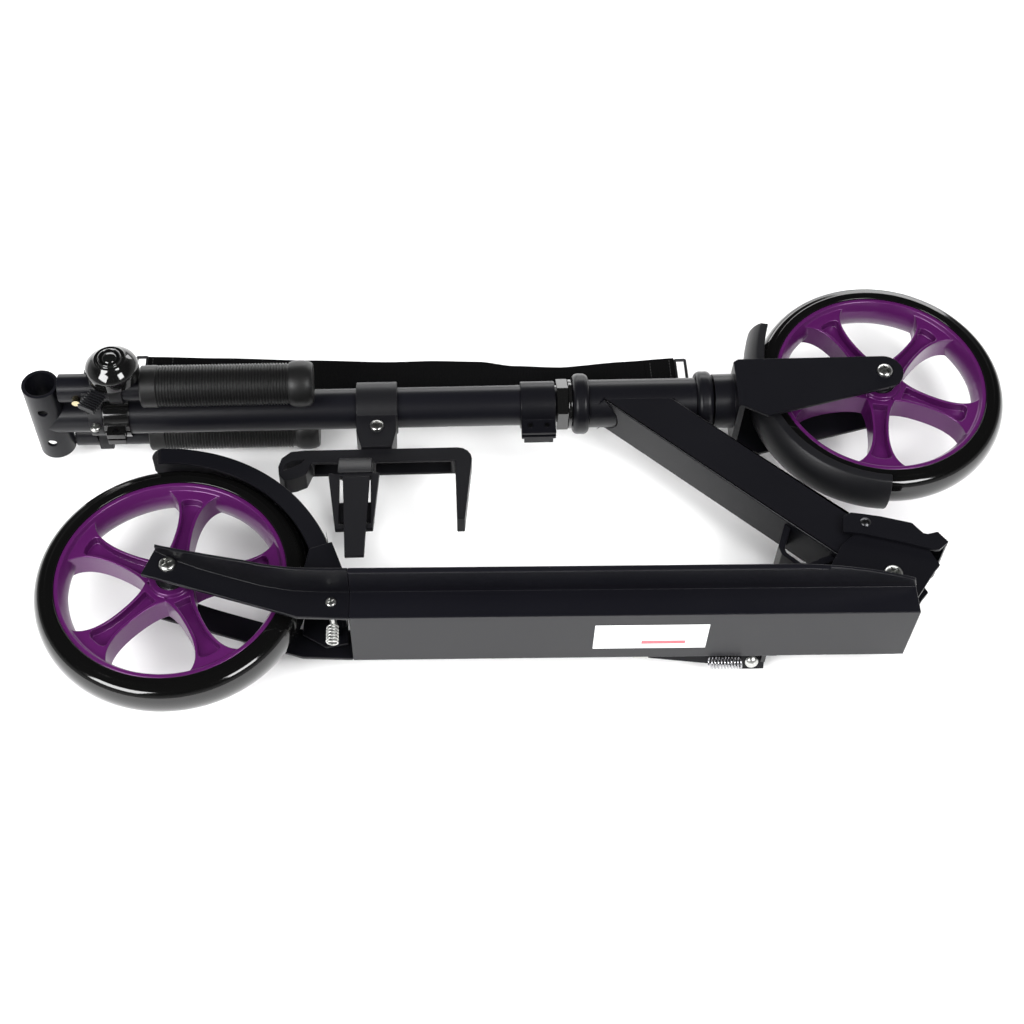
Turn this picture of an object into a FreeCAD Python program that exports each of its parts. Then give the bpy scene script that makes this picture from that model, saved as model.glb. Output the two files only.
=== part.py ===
import FreeCAD, Part
import math
import os

"""Folding two-wheel kick scooter, folded and lying on its left side.

Design frame: X runs along the deck to its front, Y is the deck's up, Z is the
wheel axles' direction, and the rear axle's centre is the origin. Every node is
shifted by ROW_SHIFT when it is written, so that the part stands on Z = 0.
The steering parts are drawn along their own axis and laid in by on_stem().
"""

V = FreeCAD.Vector
X_AXIS, Y_AXIS, Z_AXIS = V(1, 0, 0), V(0, 1, 0), V(0, 0, 1)

# --- Driving dimensions, millimetres and degrees -----------------------------
ROW_SHIFT = V(-261.2, -89.1, 58.0)

WHEEL_RADIUS = 100.0
TYRE_HALF_WIDTH = 15.0
RIM_RADIUS = 83.6
RIM_HALF_WIDTH = 14.2
HUB_RADIUS = 15.5
HUB_HALF_WIDTH = 13.5
SPOKES = 5
AXLE_RADIUS = 4.0
BEARING_RADIUS = 11.0
BEARING_WIDTH = 7.0
RUNNING_GAP = 0.05
BODY_GAP = 0.4

DECK_REAR = 131.0
DECK_FRONT = 538.0
DECK_BOTTOM = -46.5
DECK_TOP = -22.0
DECK_WALL = 2.5
BOX_HALF = 30.0
LIP_HALF = 58.0
NOTCH_REAR = 462.0
NOTCH_HALF = 25.0
TAPE_THICK = 0.8

ARM_THICK = 3.0
HINGE = V(526, -8, 0)
PLATE_INNER, PLATE_OUTER = 17.5, 20.5
PLATE_ARC = 36.8
PLATE_CROWN = 43.0
LOCK_RADIUS = 29.0
LOCK_PIN_RADIUS = 3.0
LOCK_SLOT_HALF = 5.8
LOCK_SLOT_DEPTH = 1.9
FOLD_ANGLE = -80.0

NECK_ANGLE = 138.1
NECK_HALF = 18.5
NECK_HALF_Z = 17.0
NECK_WALL = 2.5
NECK_LENGTH = 262.0
NECK_OFFSET = 8.0
LEVER_PIVOT = V(511.5, 36, 0)

STEM_TILT = 1.06
STEM_Y = 162.4
FORK_TURN = 3.15
LOWER_STEM_RADIUS = 16.0
UPPER_STEM_RADIUS = 14.0
STEERER_RADIUS = 14.0
HEAD_REAR, HEAD_FRONT = 313.0, 398.0
HEAD_RADIUS = 19.0
FRONT_AXLE_ALONG = 547.0
FRONT_AXLE_OFFSET = 5.9
CROWN_ALONG = 428.0

TEE_ALONG = -110.5
TEE_HALF = 38.0
TEE_RADIUS, TEE_BORE = 14.0, 11.3
BAR_RADIUS = 11.0
GRIP_RADIUS = 16.3
GRIP_END_RADIUS = 18.0
RIGHT_BAR = V(0, -2.0, 35.0)
LEFT_BAR = V(0, 9.0, -34.0)
BAR_START = -95.8
BUTTON_ALONG = -81.8
BUTTON_RADIUS = 3.0

BRAKE_PIVOT = V(118, -33, 0)
FENDER_CENTRE = V(-13, -23, 0)
FENDER_RADIUS = 137.5
KICK_PIVOT = V(427, -41.5, -44.5)
KICK_SPLAY = 60.0
KICK_TUCK = -5.0
BELL_ALONG = -52.0
BELL_LEVER_TURN = 62.0


# --- Helpers -----------------------------------------------------------------
def rod(base, axis, radius, length):
    return Part.makeCylinder(radius, length, base, axis)


def rod_z(x, y, z0, z1, radius):
    return Part.makeCylinder(radius, z1 - z0, V(x, y, z0), Z_AXIS)


def tube_x(x0, x1, outer, inner, y=0.0, z=0.0):
    """Round tube along X from x0 to x1."""
    start = V(x0, y, z)
    return rod(start, X_AXIS, outer, x1 - x0).cut(rod(start, X_AXIS, inner, x1 - x0))


def ring_z(z0, z1, outer, inner, x=0.0, y=0.0):
    """Round ring about a line along Z."""
    return rod_z(x, y, z0, z1, outer).cut(rod_z(x, y, z0, z1, inner))


def block(x0, x1, y0, y1, z0, z1):
    return Part.makeBox(x1 - x0, y1 - y0, z1 - z0, V(x0, y0, z0))


def prism(points, z0, z1):
    """Extrude an outline of (x, y) points from z0 to z1."""
    corners = [V(x, y, z0) for x, y in points]
    face = Part.Face(Part.makePolygon(corners + [corners[0]]))
    return face.extrude(V(0, 0, z1 - z0))


def spline(points, z):
    curve = Part.BSplineCurve()
    curve.interpolate([V(x, y, z) for x, y in points])
    return curve.toShape()


def lines(points):
    return [Part.makeLine(a, b) for a, b in zip(points, points[1:])]


def smooth_prism(curve, corners, z0, z1):
    """Extrude an outline made of one smooth curve and the straight sides that close it."""
    loop = [V(*curve[-1], z0)] + [V(x, y, z0) for x, y in corners] + [V(*curve[0], z0)]
    return Part.Face(Part.Wire([spline(curve, z0)] + lines(loop))).extrude(V(0, 0, z1 - z0))


def waisted_prism(side, cap, z0, z1):
    """Extrude the outline between a smooth side and its mirror in X.

    The cap is the corners that lead from the side's far end towards the middle.
    """
    far = [V(x, y, z0) for x, y in [side[-1]] + cap]
    back = [V(p.x, -p.y, z0) for p in far[::-1]]
    near = [V(side[0][0], -side[0][1], z0), V(*side[0], z0)]
    mirrored = spline([(x, -y) for x, y in side[::-1]], z0)
    wire = Part.Wire([spline(side, z0)] + lines(far + back) + [mirrored] + lines(near))
    return Part.Face(wire).extrude(V(0, 0, z1 - z0))


def polar(radius, degrees, centre=V(0, 0, 0)):
    turn = math.radians(degrees)
    return V(centre.x + radius * math.cos(turn), centre.y + radius * math.sin(turn), centre.z)


def arc_band(centre, inner, outer, start, end, z0, z1):
    """Part of a flat ring about a line along Z, from one angle to another."""
    middle = (start + end) / 2
    low = [polar(inner, a, centre) for a in (start, middle, end)]
    high = [polar(outer, a, centre) for a in (start, middle, end)]
    for point in low + high:
        point.z = z0
    wire = Part.Wire([Part.Arc(*low).toShape(), Part.makeLine(low[2], high[2]),
                      Part.Arc(*high[::-1]).toShape(), Part.makeLine(high[0], low[0])])
    return Part.Face(wire).extrude(V(0, 0, z1 - z0))


def lathe_z(profile):
    """Turn an outline of (radius, z) points about Z."""
    corners = [V(r, 0, z) for r, z in profile]
    face = Part.Face(Part.makePolygon(corners + [corners[0]]))
    return face.revolve(V(0, 0, 0), Z_AXIS, 360)


def arched_band(crown, drop, skirt, half, thick, start, end, centre=V(0, 0, 0)):
    """Shell of arched section with side skirts, turned about a line along Z."""
    shoulder, inset = crown - drop, thick + 1.0
    foot = shoulder - skirt
    outer = Part.Arc(V(shoulder, 0, half - 1), V(crown, 0, 0), V(shoulder, 0, 1 - half))
    inner = Part.Arc(V(shoulder, 0, inset - half), V(crown - thick, 0, 0),
                     V(shoulder, 0, half - inset))
    low = [V(shoulder, 0, 1 - half), V(foot, 0, -half), V(foot, 0, thick - half),
           V(shoulder, 0, inset - half)]
    high = [V(p.x, 0, -p.z) for p in low[::-1]]
    wire = Part.Wire([outer.toShape()] + lines(low) + [inner.toShape()] + lines(high))
    band = Part.Face(wire).revolve(V(0, 0, 0), Z_AXIS, end - start)
    return moved(turned(band, V(0, 0, 0), Z_AXIS, start), centre)


def mirror_z(shape):
    return shape.mirror(V(0, 0, 0), Z_AXIS)


def pair(shape):
    """The shape and its mirror across the scooter's middle plane."""
    return Part.makeCompound([shape, mirror_z(shape)])


def moved(shape, offset):
    shape.translate(offset)
    return shape


def turned(shape, centre, axis, degrees):
    shape.rotate(centre, axis, degrees)
    return shape


def on_stem(shape):
    """Lay a shape drawn along the stem's own axis into the folded scooter."""
    shape.rotate(V(0, 0, 0), Z_AXIS, STEM_TILT)
    shape.translate(V(0, STEM_Y, 0))
    return shape


def on_fork(shape):
    """Turn a fork part with the steering, a little off straight ahead, and lay it in."""
    shape.rotate(V(0, 0, 0), X_AXIS, FORK_TURN)
    return on_stem(shape)


def on_front_axle(shape):
    shape.translate(V(FRONT_AXLE_ALONG, FRONT_AXLE_OFFSET, 0))
    return on_fork(shape)


def dome_head(x, y, z, radius, height, up=1):
    """Low domed bolt head that stands on z and points along +Z or -Z."""
    sphere_radius = (radius ** 2 + height ** 2) / (2 * height)
    centre = V(x, y, z + up * (height - sphere_radius))
    ball = Part.makeSphere(sphere_radius, centre)
    keep = rod_z(x, y, min(z, z + up * height), max(z, z + up * height), radius)
    return ball.common(keep)


def coil(radius, wire, pitch, length):
    """Helical spring along +Z."""
    path = Part.makeHelix(pitch, length, radius)
    section = Part.Wire(Part.Circle(V(radius, 0, 0), Y_AXIS, wire).toShape())
    return Part.Wire(path).makePipeShell([section], True, True)


# --- Deck --------------------------------------------------------------------
def deck_extrusion():
    """Box section with a wide platform, rounded in plan towards its front."""
    box = block(DECK_REAR, DECK_FRONT, DECK_BOTTOM, DECK_TOP, -BOX_HALF, BOX_HALF)
    platform = block(DECK_REAR, DECK_FRONT, DECK_TOP - DECK_WALL, DECK_TOP, -LIP_HALF, LIP_HALF)
    bead = block(DECK_REAR, DECK_FRONT, DECK_TOP - 4.5, DECK_TOP, LIP_HALF - 2, LIP_HALF)
    body = box.fuse([platform, bead, mirror_z(bead)])
    inner = BOX_HALF - DECK_WALL
    body = body.cut(block(DECK_REAR, DECK_FRONT, DECK_BOTTOM + DECK_WALL,
                          DECK_TOP - DECK_WALL, -inner, inner))
    arc = Part.Arc(V(450, -60, LIP_HALF), V(500, -60, 50.5), V(536, -60, 38.5)).toShape()
    far = [V(536, -60, 38.5), V(DECK_FRONT, -60, 31), V(DECK_FRONT + 5, -60, 31),
           V(DECK_FRONT + 5, -60, 70), V(450, -60, 70), V(450, -60, LIP_HALF)]
    sides = [Part.makeLine(a, b) for a, b in zip(far, far[1:])]
    corner = Part.Face(Part.Wire([arc] + sides)).extrude(V(0, 60, 0))
    body = body.cut([corner, mirror_z(corner)])
    notch = block(NOTCH_REAR, DECK_FRONT, DECK_TOP - 6, DECK_TOP + 1, -NOTCH_HALF, NOTCH_HALF)
    return body.cut(notch)


def grip_tape():
    """Sheet on the platform, one piece from the rear to the hinge notch."""
    sheet = block(DECK_REAR + 8, NOTCH_REAR - 30, DECK_TOP, DECK_TOP + TAPE_THICK, -48, 48)
    upright = [e for e in sheet.Edges if abs(e.tangentAt(e.FirstParameter).y) > 0.9]
    return sheet.makeFillet(14, upright)


ARM_CREST = [(-10, 14.5), (6, 6), (22.6, -1), (46, -9), (68, -16), (90, -20.5), (112, -21.8), (131, -22)]
ARM_FOOT = [(131, -46.5), (94.5, -45), (82.4, -41), (53, -31.5), (24.3, -22), (-18.5, -8)]
ARM_PLAN = [(-14, 33.5), (4, 42), (22, 48), (58, 55.5), (95, 58), (131, 58)]


def rear_arm():
    """Formed arm: an upright web and a flange that narrows towards the axle."""
    inner = BOX_HALF - ARM_THICK
    web = smooth_prism(ARM_CREST, ARM_FOOT, inner, BOX_HALF)
    under = [(x, y - DECK_WALL) for x, y in ARM_CREST]
    skin = smooth_prism(ARM_CREST, under[::-1], inner, LIP_HALF)
    plan = [V(x, -60, z) for x, z in ARM_PLAN]
    outline = plan + [V(131, -60, inner), V(-14, -60, inner), plan[0]]
    keep = Part.Face(Part.makePolygon(outline)).extrude(V(0, 120, 0))
    arm = web.fuse(skin.common(keep))
    holes = [rod_z(0, 0, 20, 40, AXLE_RADIUS + 0.1),
             rod_z(BRAKE_PIVOT.x, BRAKE_PIVOT.y, 20, 40, 2.6)]
    return arm.cut(holes)


def fold_bracket():
    """Two hinge plates set into the deck's front, with blind slots for the lock pin inside."""
    crown = [polar(PLATE_CROWN, a, HINGE) for a in (142, 118, 92, 72)]
    low = [polar(PLATE_ARC, a, HINGE) for a in (58, 35, 12)]
    front = [V(557, -6, 0), V(541, -28, 0), V(DECK_FRONT - 2, DECK_BOTTOM + DECK_WALL, 0)]
    rear = [V(468, DECK_BOTTOM + DECK_WALL, 0), V(468, DECK_TOP, 0)]
    outline = [(p.x, p.y) for p in rear + crown + low + front]
    plate = prism(outline, PLATE_INNER, PLATE_OUTER)
    first, last = NECK_ANGLE, NECK_ANGLE + FOLD_ANGLE
    depth = PLATE_INNER + LOCK_SLOT_DEPTH
    slot = arc_band(HINGE, LOCK_RADIUS - LOCK_SLOT_HALF, LOCK_RADIUS + LOCK_SLOT_HALF,
                    first, last, 0, depth)
    ends = [rod_z(p.x, p.y, 0, depth, LOCK_SLOT_HALF)
            for p in (polar(LOCK_RADIUS, first, HINGE), polar(LOCK_RADIUS, last, HINGE))]
    plate = plate.cut([slot] + ends)
    plate = plate.cut(rod_z(HINGE.x, HINGE.y, 0, 40, AXLE_RADIUS + 0.1))
    bridge = block(472, 512, DECK_BOTTOM + DECK_WALL, DECK_BOTTOM + DECK_WALL + 3,
                   -PLATE_INNER, PLATE_INNER)
    return plate.fuse([mirror_z(plate), bridge])


def cross_bolt(x, y, half, radius, head_radius, head_height):
    """Bolt along Z with a domed head at each end."""
    shank = rod_z(x, y, -half, half, radius)
    heads = [dome_head(x, y, half, head_radius, head_height, 1),
             dome_head(x, y, -half, head_radius, head_height, -1)]
    return shank.fuse(heads)


def on_kickstand(shape):
    """Lay a shape drawn about its pivot, with the leg along -X, under the deck."""
    shape.rotate(V(0, 0, 0), X_AXIS, KICK_SPLAY)
    shape.translate(KICK_PIVOT)
    return shape


def kickstand_bracket():
    """Plate on the deck's side wall, with a slanted ear that carries the stand's pivot."""
    base = block(414, 444, -45.5, -27, -BOX_HALF - 2, -BOX_HALF)
    ear = on_kickstand(block(-8, 10, -8, 7, -3.3, -0.3))
    web = block(433.5, 437, -44, -32, -44, -BOX_HALF)
    hole = on_kickstand(rod_z(0, 0, -10, 10, 2.6))
    return base.fuse([ear, web]).cut(hole)


def kickstand_bolt():
    shank = rod_z(0, 0, -3.3, 3.1, 2.5)
    return on_kickstand(shank.fuse(dome_head(0, 0, 3.1, 5, 2.4, 1)))


# --- Wheels ------------------------------------------------------------------
def tyre():
    """Solid tyre with a round crown."""
    centre = WHEEL_RADIUS - TYRE_HALF_WIDTH
    seat = RIM_RADIUS
    low = [V(centre, 0, -TYRE_HALF_WIDTH), V(WHEEL_RADIUS, 0, 0), V(centre, 0, TYRE_HALF_WIDTH)]
    crown = Part.Arc(*low).toShape()
    loop = [low[2], V(seat, 0, TYRE_HALF_WIDTH), V(seat, 0, -TYRE_HALF_WIDTH), low[0]]
    sides = [Part.makeLine(a, b) for a, b in zip(loop, loop[1:])]
    return Part.Face(Part.Wire([crown] + sides)).revolve(V(0, 0, 0), Z_AXIS, 360)


SPOKE_SIDE = [(14, 12), (22, 8.6), (34, 6.6), (48, 6.3), (60, 7.9), (70, 12), (77.5, 21)]
GROOVE_SIDE = [(20, 6), (32, 4.6), (44, 4.1), (54, 4.6), (62, 6.3), (67, 8.2)]


def rim(first_spoke):
    """Cast rim: barrel, hub with two bearing seats, and channelled, flaring spokes."""
    edge = RIM_HALF_WIDTH
    barrel = lathe_z([(RIM_RADIUS, -edge), (RIM_RADIUS, edge), (RIM_RADIUS - 3, edge),
                      (RIM_RADIUS - 6.5, 7), (RIM_RADIUS - 8, 0), (RIM_RADIUS - 6.5, -7),
                      (RIM_RADIUS - 3, -edge)])
    hub = lathe_z([(0.01, -HUB_HALF_WIDTH), (HUB_RADIUS, -HUB_HALF_WIDTH), (HUB_RADIUS + 3, 0),
                   (HUB_RADIUS, HUB_HALF_WIDTH), (0.01, HUB_HALF_WIDTH)])
    spoke = waisted_prism(SPOKE_SIDE, [(80.5, 16)], -10.5, 10.5)
    groove = waisted_prism(GROOVE_SIDE, [(69.5, 7.4), (71, 3.5)], 3, 11)
    spoke = spoke.cut([groove, mirror_z(groove)])
    arms = [turned(spoke.copy(), V(0, 0, 0), Z_AXIS, first_spoke + i * 360 / SPOKES)
            for i in range(SPOKES)]
    wheel = barrel.fuse(arms + [hub])
    seat = HUB_HALF_WIDTH - BEARING_WIDTH
    bores = [rod_z(0, 0, seat, HUB_HALF_WIDTH + 1, BEARING_RADIUS),
             rod_z(0, 0, -HUB_HALF_WIDTH - 1, -seat, BEARING_RADIUS),
             rod_z(0, 0, -20, 20, 8)]
    return wheel.cut(bores)


def wheel_bearings():
    seat = HUB_HALF_WIDTH - BEARING_WIDTH
    return pair(ring_z(seat, HUB_HALF_WIDTH, BEARING_RADIUS, AXLE_RADIUS + RUNNING_GAP))


def axle_spacers(half):
    return pair(ring_z(HUB_HALF_WIDTH + BODY_GAP, half, 6.5, AXLE_RADIUS + 0.1))


# --- Rear brake and kickstand ------------------------------------------------
def rear_fender():
    """Brake fender: an arched shell over the tyre that runs straight down to two pivot ears."""
    thick = 2.7
    shell = arched_band(FENDER_RADIUS, 3.5, 14, 22, thick, 20, 95, FENDER_CENTRE)
    tip = block(-60, 1, 60, 160, -40, 40).cut(rod(V(1, 60, 0), Y_AXIS, 27, 100))
    root = prism([(99.8, 18), (116.2, 24), (126.6, -4.5), (128, -38), (112, -41), (94, -30),
                  (95, -8)], 19.5, 22)
    back = prism([(116.2, 24), (126.6, -4.5), (124, -5.4), (113.6, 23.1)], -20.5, 20.5)
    web = prism([(124, -5.4), (126.6, -4.5), (126.5, -24), (123.5, -24)], -19.5, 19.5)
    body = shell.cut(tip).fuse([root, mirror_z(root), back, web])
    return body.cut(rod_z(BRAKE_PIVOT.x, BRAKE_PIVOT.y, -40, 40, 2.55))


def kickstand_leg():
    """Flat steel leg, tapering from its pivot, folded back along the deck."""
    leg = prism([(0, -5), (0, 5), (-78, 2.6), (-78, -2.6)], 0, 3)
    leg = leg.fuse(rod_z(0, 0, 0, 3, 5.5)).cut(rod_z(0, 0, -5, 5, 2.55))
    return on_kickstand(turned(leg, V(0, 0, 0), Z_AXIS, KICK_TUCK))


def kickstand_foot():
    foot = block(-90, -78, -3.2, 3.2, -0.6, 3.6)
    return on_kickstand(turned(foot, V(0, 0, 0), Z_AXIS, KICK_TUCK))


# --- Neck and head -----------------------------------------------------------
def neck_place(shape):
    """Lay a shape drawn along +X from the hinge into the folded neck's line."""
    shape.rotate(V(0, 0, 0), Z_AXIS, NECK_ANGLE)
    shape.translate(HINGE)
    return shape


def head_cutter():
    return on_stem(rod(V(HEAD_REAR - 60, 0, 0), X_AXIS, HEAD_RADIUS, 180))


def neck_tube():
    """Rectangular down tube with a round hinge end, coped to the head tube."""
    low, high = -NECK_HALF - NECK_OFFSET, NECK_HALF - NECK_OFFSET
    tube = block(22, NECK_LENGTH, low, high, -NECK_HALF_Z, NECK_HALF_Z)
    hollow = block(30, NECK_LENGTH, low + NECK_WALL, high - NECK_WALL,
                   -NECK_HALF_Z + NECK_WALL, NECK_HALF_Z - NECK_WALL)
    end = prism([(0, -12), (0, 10), (24, high), (24, low)], -NECK_HALF_Z, NECK_HALF_Z)
    knuckle = rod_z(0, 0, -NECK_HALF_Z, NECK_HALF_Z, 12)
    body = tube.cut(hollow).fuse([end, knuckle])
    window = block(LOCK_RADIUS - 7, LOCK_RADIUS + 7, -8, 8, -30, 30)
    body = body.cut([window, rod_z(0, 0, -40, 40, AXLE_RADIUS + RUNNING_GAP)])
    body = neck_place(body)
    body = body.cut(rod_z(LEVER_PIVOT.x, LEVER_PIVOT.y, -40, 40, 2.5 + RUNNING_GAP))
    trim = on_stem(block(200, 500, 0, 120, -60, 60))
    return body.cut([head_cutter(), trim])


def neck_loop():
    """Flat steel loop under the neck, where a lock or a strap hooks on."""
    outer = prism([(40, 10.5), (50, 31), (57, 34.5), (74, 34), (80, 30), (88, 10.5)], -12, 12)
    inner = prism([(46, 10), (55, 28.5), (59, 31), (72, 30.5), (75.5, 28), (82.5, 10)], -20, 20)
    return neck_place(outer.cut(inner))


def head_tube():
    return on_stem(tube_x(HEAD_REAR, HEAD_FRONT, HEAD_RADIUS, 16))


def headset_cups():
    """Upper and lower bearing cups with rounded rims."""
    cups = []
    for start, way in ((HEAD_REAR, -1), (HEAD_FRONT, 1)):
        low, high = sorted((start, start + way * 13))
        ring = tube_x(low, high, 24.0, 18.0)
        rims = [e for e in ring.Edges if e.Curve.TypeId == "Part::GeomCircle" and e.Curve.Radius > 20]
        ring = ring.makeFillet(4.5, rims)
        cups.append(ring)
    return on_stem(Part.makeCompound(cups))


def headset_bearings():
    rings = [tube_x(low, low + 7, 18.0, STEERER_RADIUS + RUNNING_GAP)
             for low in (HEAD_REAR - 8, HEAD_FRONT + 1)]
    return on_stem(Part.makeCompound(rings))


# --- Fold lever --------------------------------------------------------------
LEVER_TOP = [(513, 43.1), (524, 41), (546, 35), (553.1, 25.8), (556.3, 25), (563.8, 26.9),
             (570.7, 17.7)]
LEVER_UNDER = [(567.5, 14.8), (562.6, 23.2), (556.5, 21.9), (551, 23), (544.2, 32.2),
               (523.2, 38.1), (514.5, 39.9)]


def fold_lever():
    """Channel-shaped thumb lever over the hinge plates."""
    rear = [(507.2, 25.9), (493.4, 27.6), (495.2, 41.3), (501.7, 44.9)]
    front = [(562.9, 11), (559.8, 10.8), (534.4, 18.5)]
    cheek = prism(rear + LEVER_TOP + front, PLATE_OUTER + 0.6, PLATE_OUTER + 3.4)
    roof = prism(LEVER_TOP + LEVER_UNDER, -PLATE_OUTER - 0.7, PLATE_OUTER + 0.7)
    body = cheek.fuse([mirror_z(cheek), roof])
    return body.cut(rod_z(LEVER_PIVOT.x, LEVER_PIVOT.y, -40, 40, 2.5))


def fold_lever_rivet():
    return cross_bolt(LEVER_PIVOT.x, LEVER_PIVOT.y, PLATE_OUTER + 3.4, 2.5, 4, 1.6)


def lock_pin():
    place = polar(LOCK_RADIUS, NECK_ANGLE, HINGE)
    half = PLATE_INNER + LOCK_SLOT_DEPTH - BODY_GAP
    return rod_z(place.x, place.y, -half, half, LOCK_PIN_RADIUS)


# --- Fork, stem and front guard ----------------------------------------------
def fork():
    """Steerer, crown plate and two tapering blades, drawn along the stem."""
    blade_out = 28.0
    axle = V(FRONT_AXLE_ALONG, FRONT_AXLE_OFFSET, 0)
    outline = [(CROWN_ALONG, 18), (CROWN_ALONG + 4, 20.5), (axle.x, axle.y + 15),
               (axle.x + 2, axle.y - 15), (CROWN_ALONG + 22, -34), (CROWN_ALONG, -22)]
    blade = prism(outline, blade_out - 3, blade_out)
    blade = blade.fuse(rod_z(axle.x, axle.y, blade_out - 3, blade_out, 15))
    crown = block(CROWN_ALONG, CROWN_ALONG + 5, -24, 18, -blade_out, blade_out)
    steerer = tube_x(262, CROWN_ALONG + 1, STEERER_RADIUS, 11.5)
    race = tube_x(HEAD_FRONT + 14, CROWN_ALONG, 21.5, STEERER_RADIUS - 1)
    body = crown.fuse([blade, mirror_z(blade), steerer, race])
    return on_fork(body.cut(rod_z(axle.x, axle.y, -40, 40, AXLE_RADIUS + 0.1)))


def headset_nuts():
    """Thin washer and hexagonal lock nut on the steerer."""
    corners = [(20.5 * math.cos(math.radians(a)), 20.5 * math.sin(math.radians(a)))
               for a in range(0, 360, 60)]
    hexagon = prism(corners, 0, 9)
    hexagon.rotate(V(0, 0, 0), Y_AXIS, 90)
    hexagon.translate(V(287.5, 0, 0))
    nut = hexagon.cut(rod(V(280, 0, 0), X_AXIS, STEERER_RADIUS, 20))
    washer = tube_x(296.6, 299.4, 19.5, STEERER_RADIUS)
    return on_stem(Part.makeCompound([nut, washer]))


def front_mudguard():
    """Guard bolted behind the crown, that leaves the tyre at its flared upper end."""
    crown, turn_point = 106.0, 188.0
    away = 54.0
    shell = arched_band(crown, 8, 6, 20.5, 2.5, turn_point, 265.5)
    flap = arched_band(crown + away, 8, 6, 20.5, 2.5, 161, turn_point,
                       polar(-away, turn_point))
    crown_face = CROWN_ALONG + 5 - FRONT_AXLE_ALONG
    stay = block(crown_face, -102, -9, 9, -10, 10)
    return on_front_axle(shell.fuse([flap, stay]))


def stem_bracket():
    """Folded clamp band that ties the lower stem to the steerer."""
    band = tube_x(259, 286, 18.6, LOWER_STEM_RADIUS)
    ears = [block(259, 286, -31, -16.5, 1.2, 4), block(259, 286, -31, -16.5, -4, -1.2)]
    lip = block(261, 284, -31, -28.5, -9, -1.2)
    body = band.fuse(ears + [lip])
    return on_stem(body.cut(rod(V(250, 0, 0), X_AXIS, LOWER_STEM_RADIUS, 50)))


def stem_bracket_rivets():
    rivets = []
    for along in (266, 279):
        rivets.append(rod_z(along, -24, -5.5, 5.5, 1.8))
    return on_stem(Part.makeCompound(rivets))


def height_collar():
    """Clamp ring at the lower stem's mouth, hollowed at the sides to let the grips pass."""
    ring = tube_x(-64, -46, 18.3, LOWER_STEM_RADIUS)
    lip = tube_x(-66, -64, 18.3, UPPER_STEM_RADIUS + 0.3)
    ear = block(-63, -49, -26, -16.5, -6, 6)
    split = block(-70, -40, -30, -12, -0.8, 0.8)
    body = ring.fuse([lip, ear]).cut([split, rod(V(-64, 0, 0), X_AXIS, LOWER_STEM_RADIUS, 30)])
    relief = [rod(V(-70, bar.y, bar.z), X_AXIS, GRIP_END_RADIUS + BODY_GAP, 30)
              for bar in (RIGHT_BAR, LEFT_BAR)]
    return on_stem(body.cut(relief + [rod_z(-56, -21.5, -20, 20, 2.1)]))


def collar_screw():
    """Set screw whose head is on the far side of the split ear."""
    shank = rod_z(-56, -21.5, -6, 6, 2.0)
    return on_stem(shank.fuse(dome_head(-56, -21.5, -6, 3.8, 2.4, -1)))


# --- Handlebar ---------------------------------------------------------------
def handlebar_tee():
    """Cross tube that takes the two bars, open at both ends."""
    cross = rod_z(TEE_ALONG, 0, -TEE_HALF, TEE_HALF, TEE_RADIUS)
    bore = rod_z(TEE_ALONG, 0, -TEE_HALF, TEE_HALF, TEE_BORE)
    holes = [rod(V(TEE_ALONG, -30, z), Y_AXIS, 3.6, 30) for z in (-19, 19)]
    return on_stem(cross.cut([bore] + holes))


def upper_stem():
    tube = tube_x(TEE_ALONG, 250, UPPER_STEM_RADIUS, 12.4)
    return on_stem(tube.cut(rod_z(TEE_ALONG, 0, -60, 60, TEE_RADIUS)))


def grip_clips():
    """Band round the upper stem with two open cups that hold the bars."""
    low, high = -77.2, -66.5
    band = tube_x(low, high, 17, UPPER_STEM_RADIUS)
    cups = []
    for centre, way in ((RIGHT_BAR, 1), (LEFT_BAR, -1)):
        outer, inner = BAR_RADIUS + 2.7, BAR_RADIUS + BODY_GAP
        cup = rod(V(low, centre.y, centre.z), X_AXIS, outer, high - low)
        arm_low, arm_high = sorted((centre.z, centre.z + way * 6))
        cup = cup.fuse(block(low, high, centre.y - outer, centre.y + outer, arm_low, arm_high))
        cup = cup.fuse(block(low, high, centre.y / 2 - 7, centre.y / 2 + 7,
                             *sorted((way * 14, centre.z))))
        cut_low, cut_high = sorted((centre.z, centre.z + way * 40))
        cup = cup.cut([rod(V(low, centre.y, centre.z), X_AXIS, inner, high - low),
                       block(low, high, centre.y - inner, centre.y + inner, cut_low, cut_high)])
        cups.append(cup)
    body = band.fuse(cups)
    body = body.cut(block(low, high, centre.y + 13, 40, cut_low + 34, cut_high))
    body = body.cut(rod(V(low, 0, 0), X_AXIS, UPPER_STEM_RADIUS, high - low))
    return on_stem(body.cut(clip_screw_shape()))


def clip_screw_shape():
    return rod_z(-72, -18, -3, 5, 1.9).fuse(dome_head(-72, -18, 5, 4.1, 3.2, 1))


def bar_tube(centre, way):
    """Bar with one hole for its spring button, on the side that way points to."""
    tube = tube_x(BAR_START, 96, BAR_RADIUS, 9.2, centre.y, centre.z)
    side = V(0, way, 0)
    hole = rod(V(BUTTON_ALONG, centre.y, centre.z), side, BUTTON_RADIUS + 0.1, 20)
    return on_stem(tube.cut(hole))


def grip(centre, start):
    """Ribbed rubber grip with a bulged, closed end."""
    body = rod(V(start, centre.y, centre.z), X_AXIS, GRIP_RADIUS, 80 - start)
    end = rod(V(80, centre.y, centre.z), X_AXIS, GRIP_END_RADIUS, 18)
    rims = [e for e in end.Edges if e.Curve.TypeId == "Part::GeomCircle"]
    end = end.makeFillet(4, rims)
    bore = rod(V(start, centre.y, centre.z), X_AXIS, BAR_RADIUS, 96 - start)
    return on_stem(body.fuse(end).cut(bore))


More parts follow.
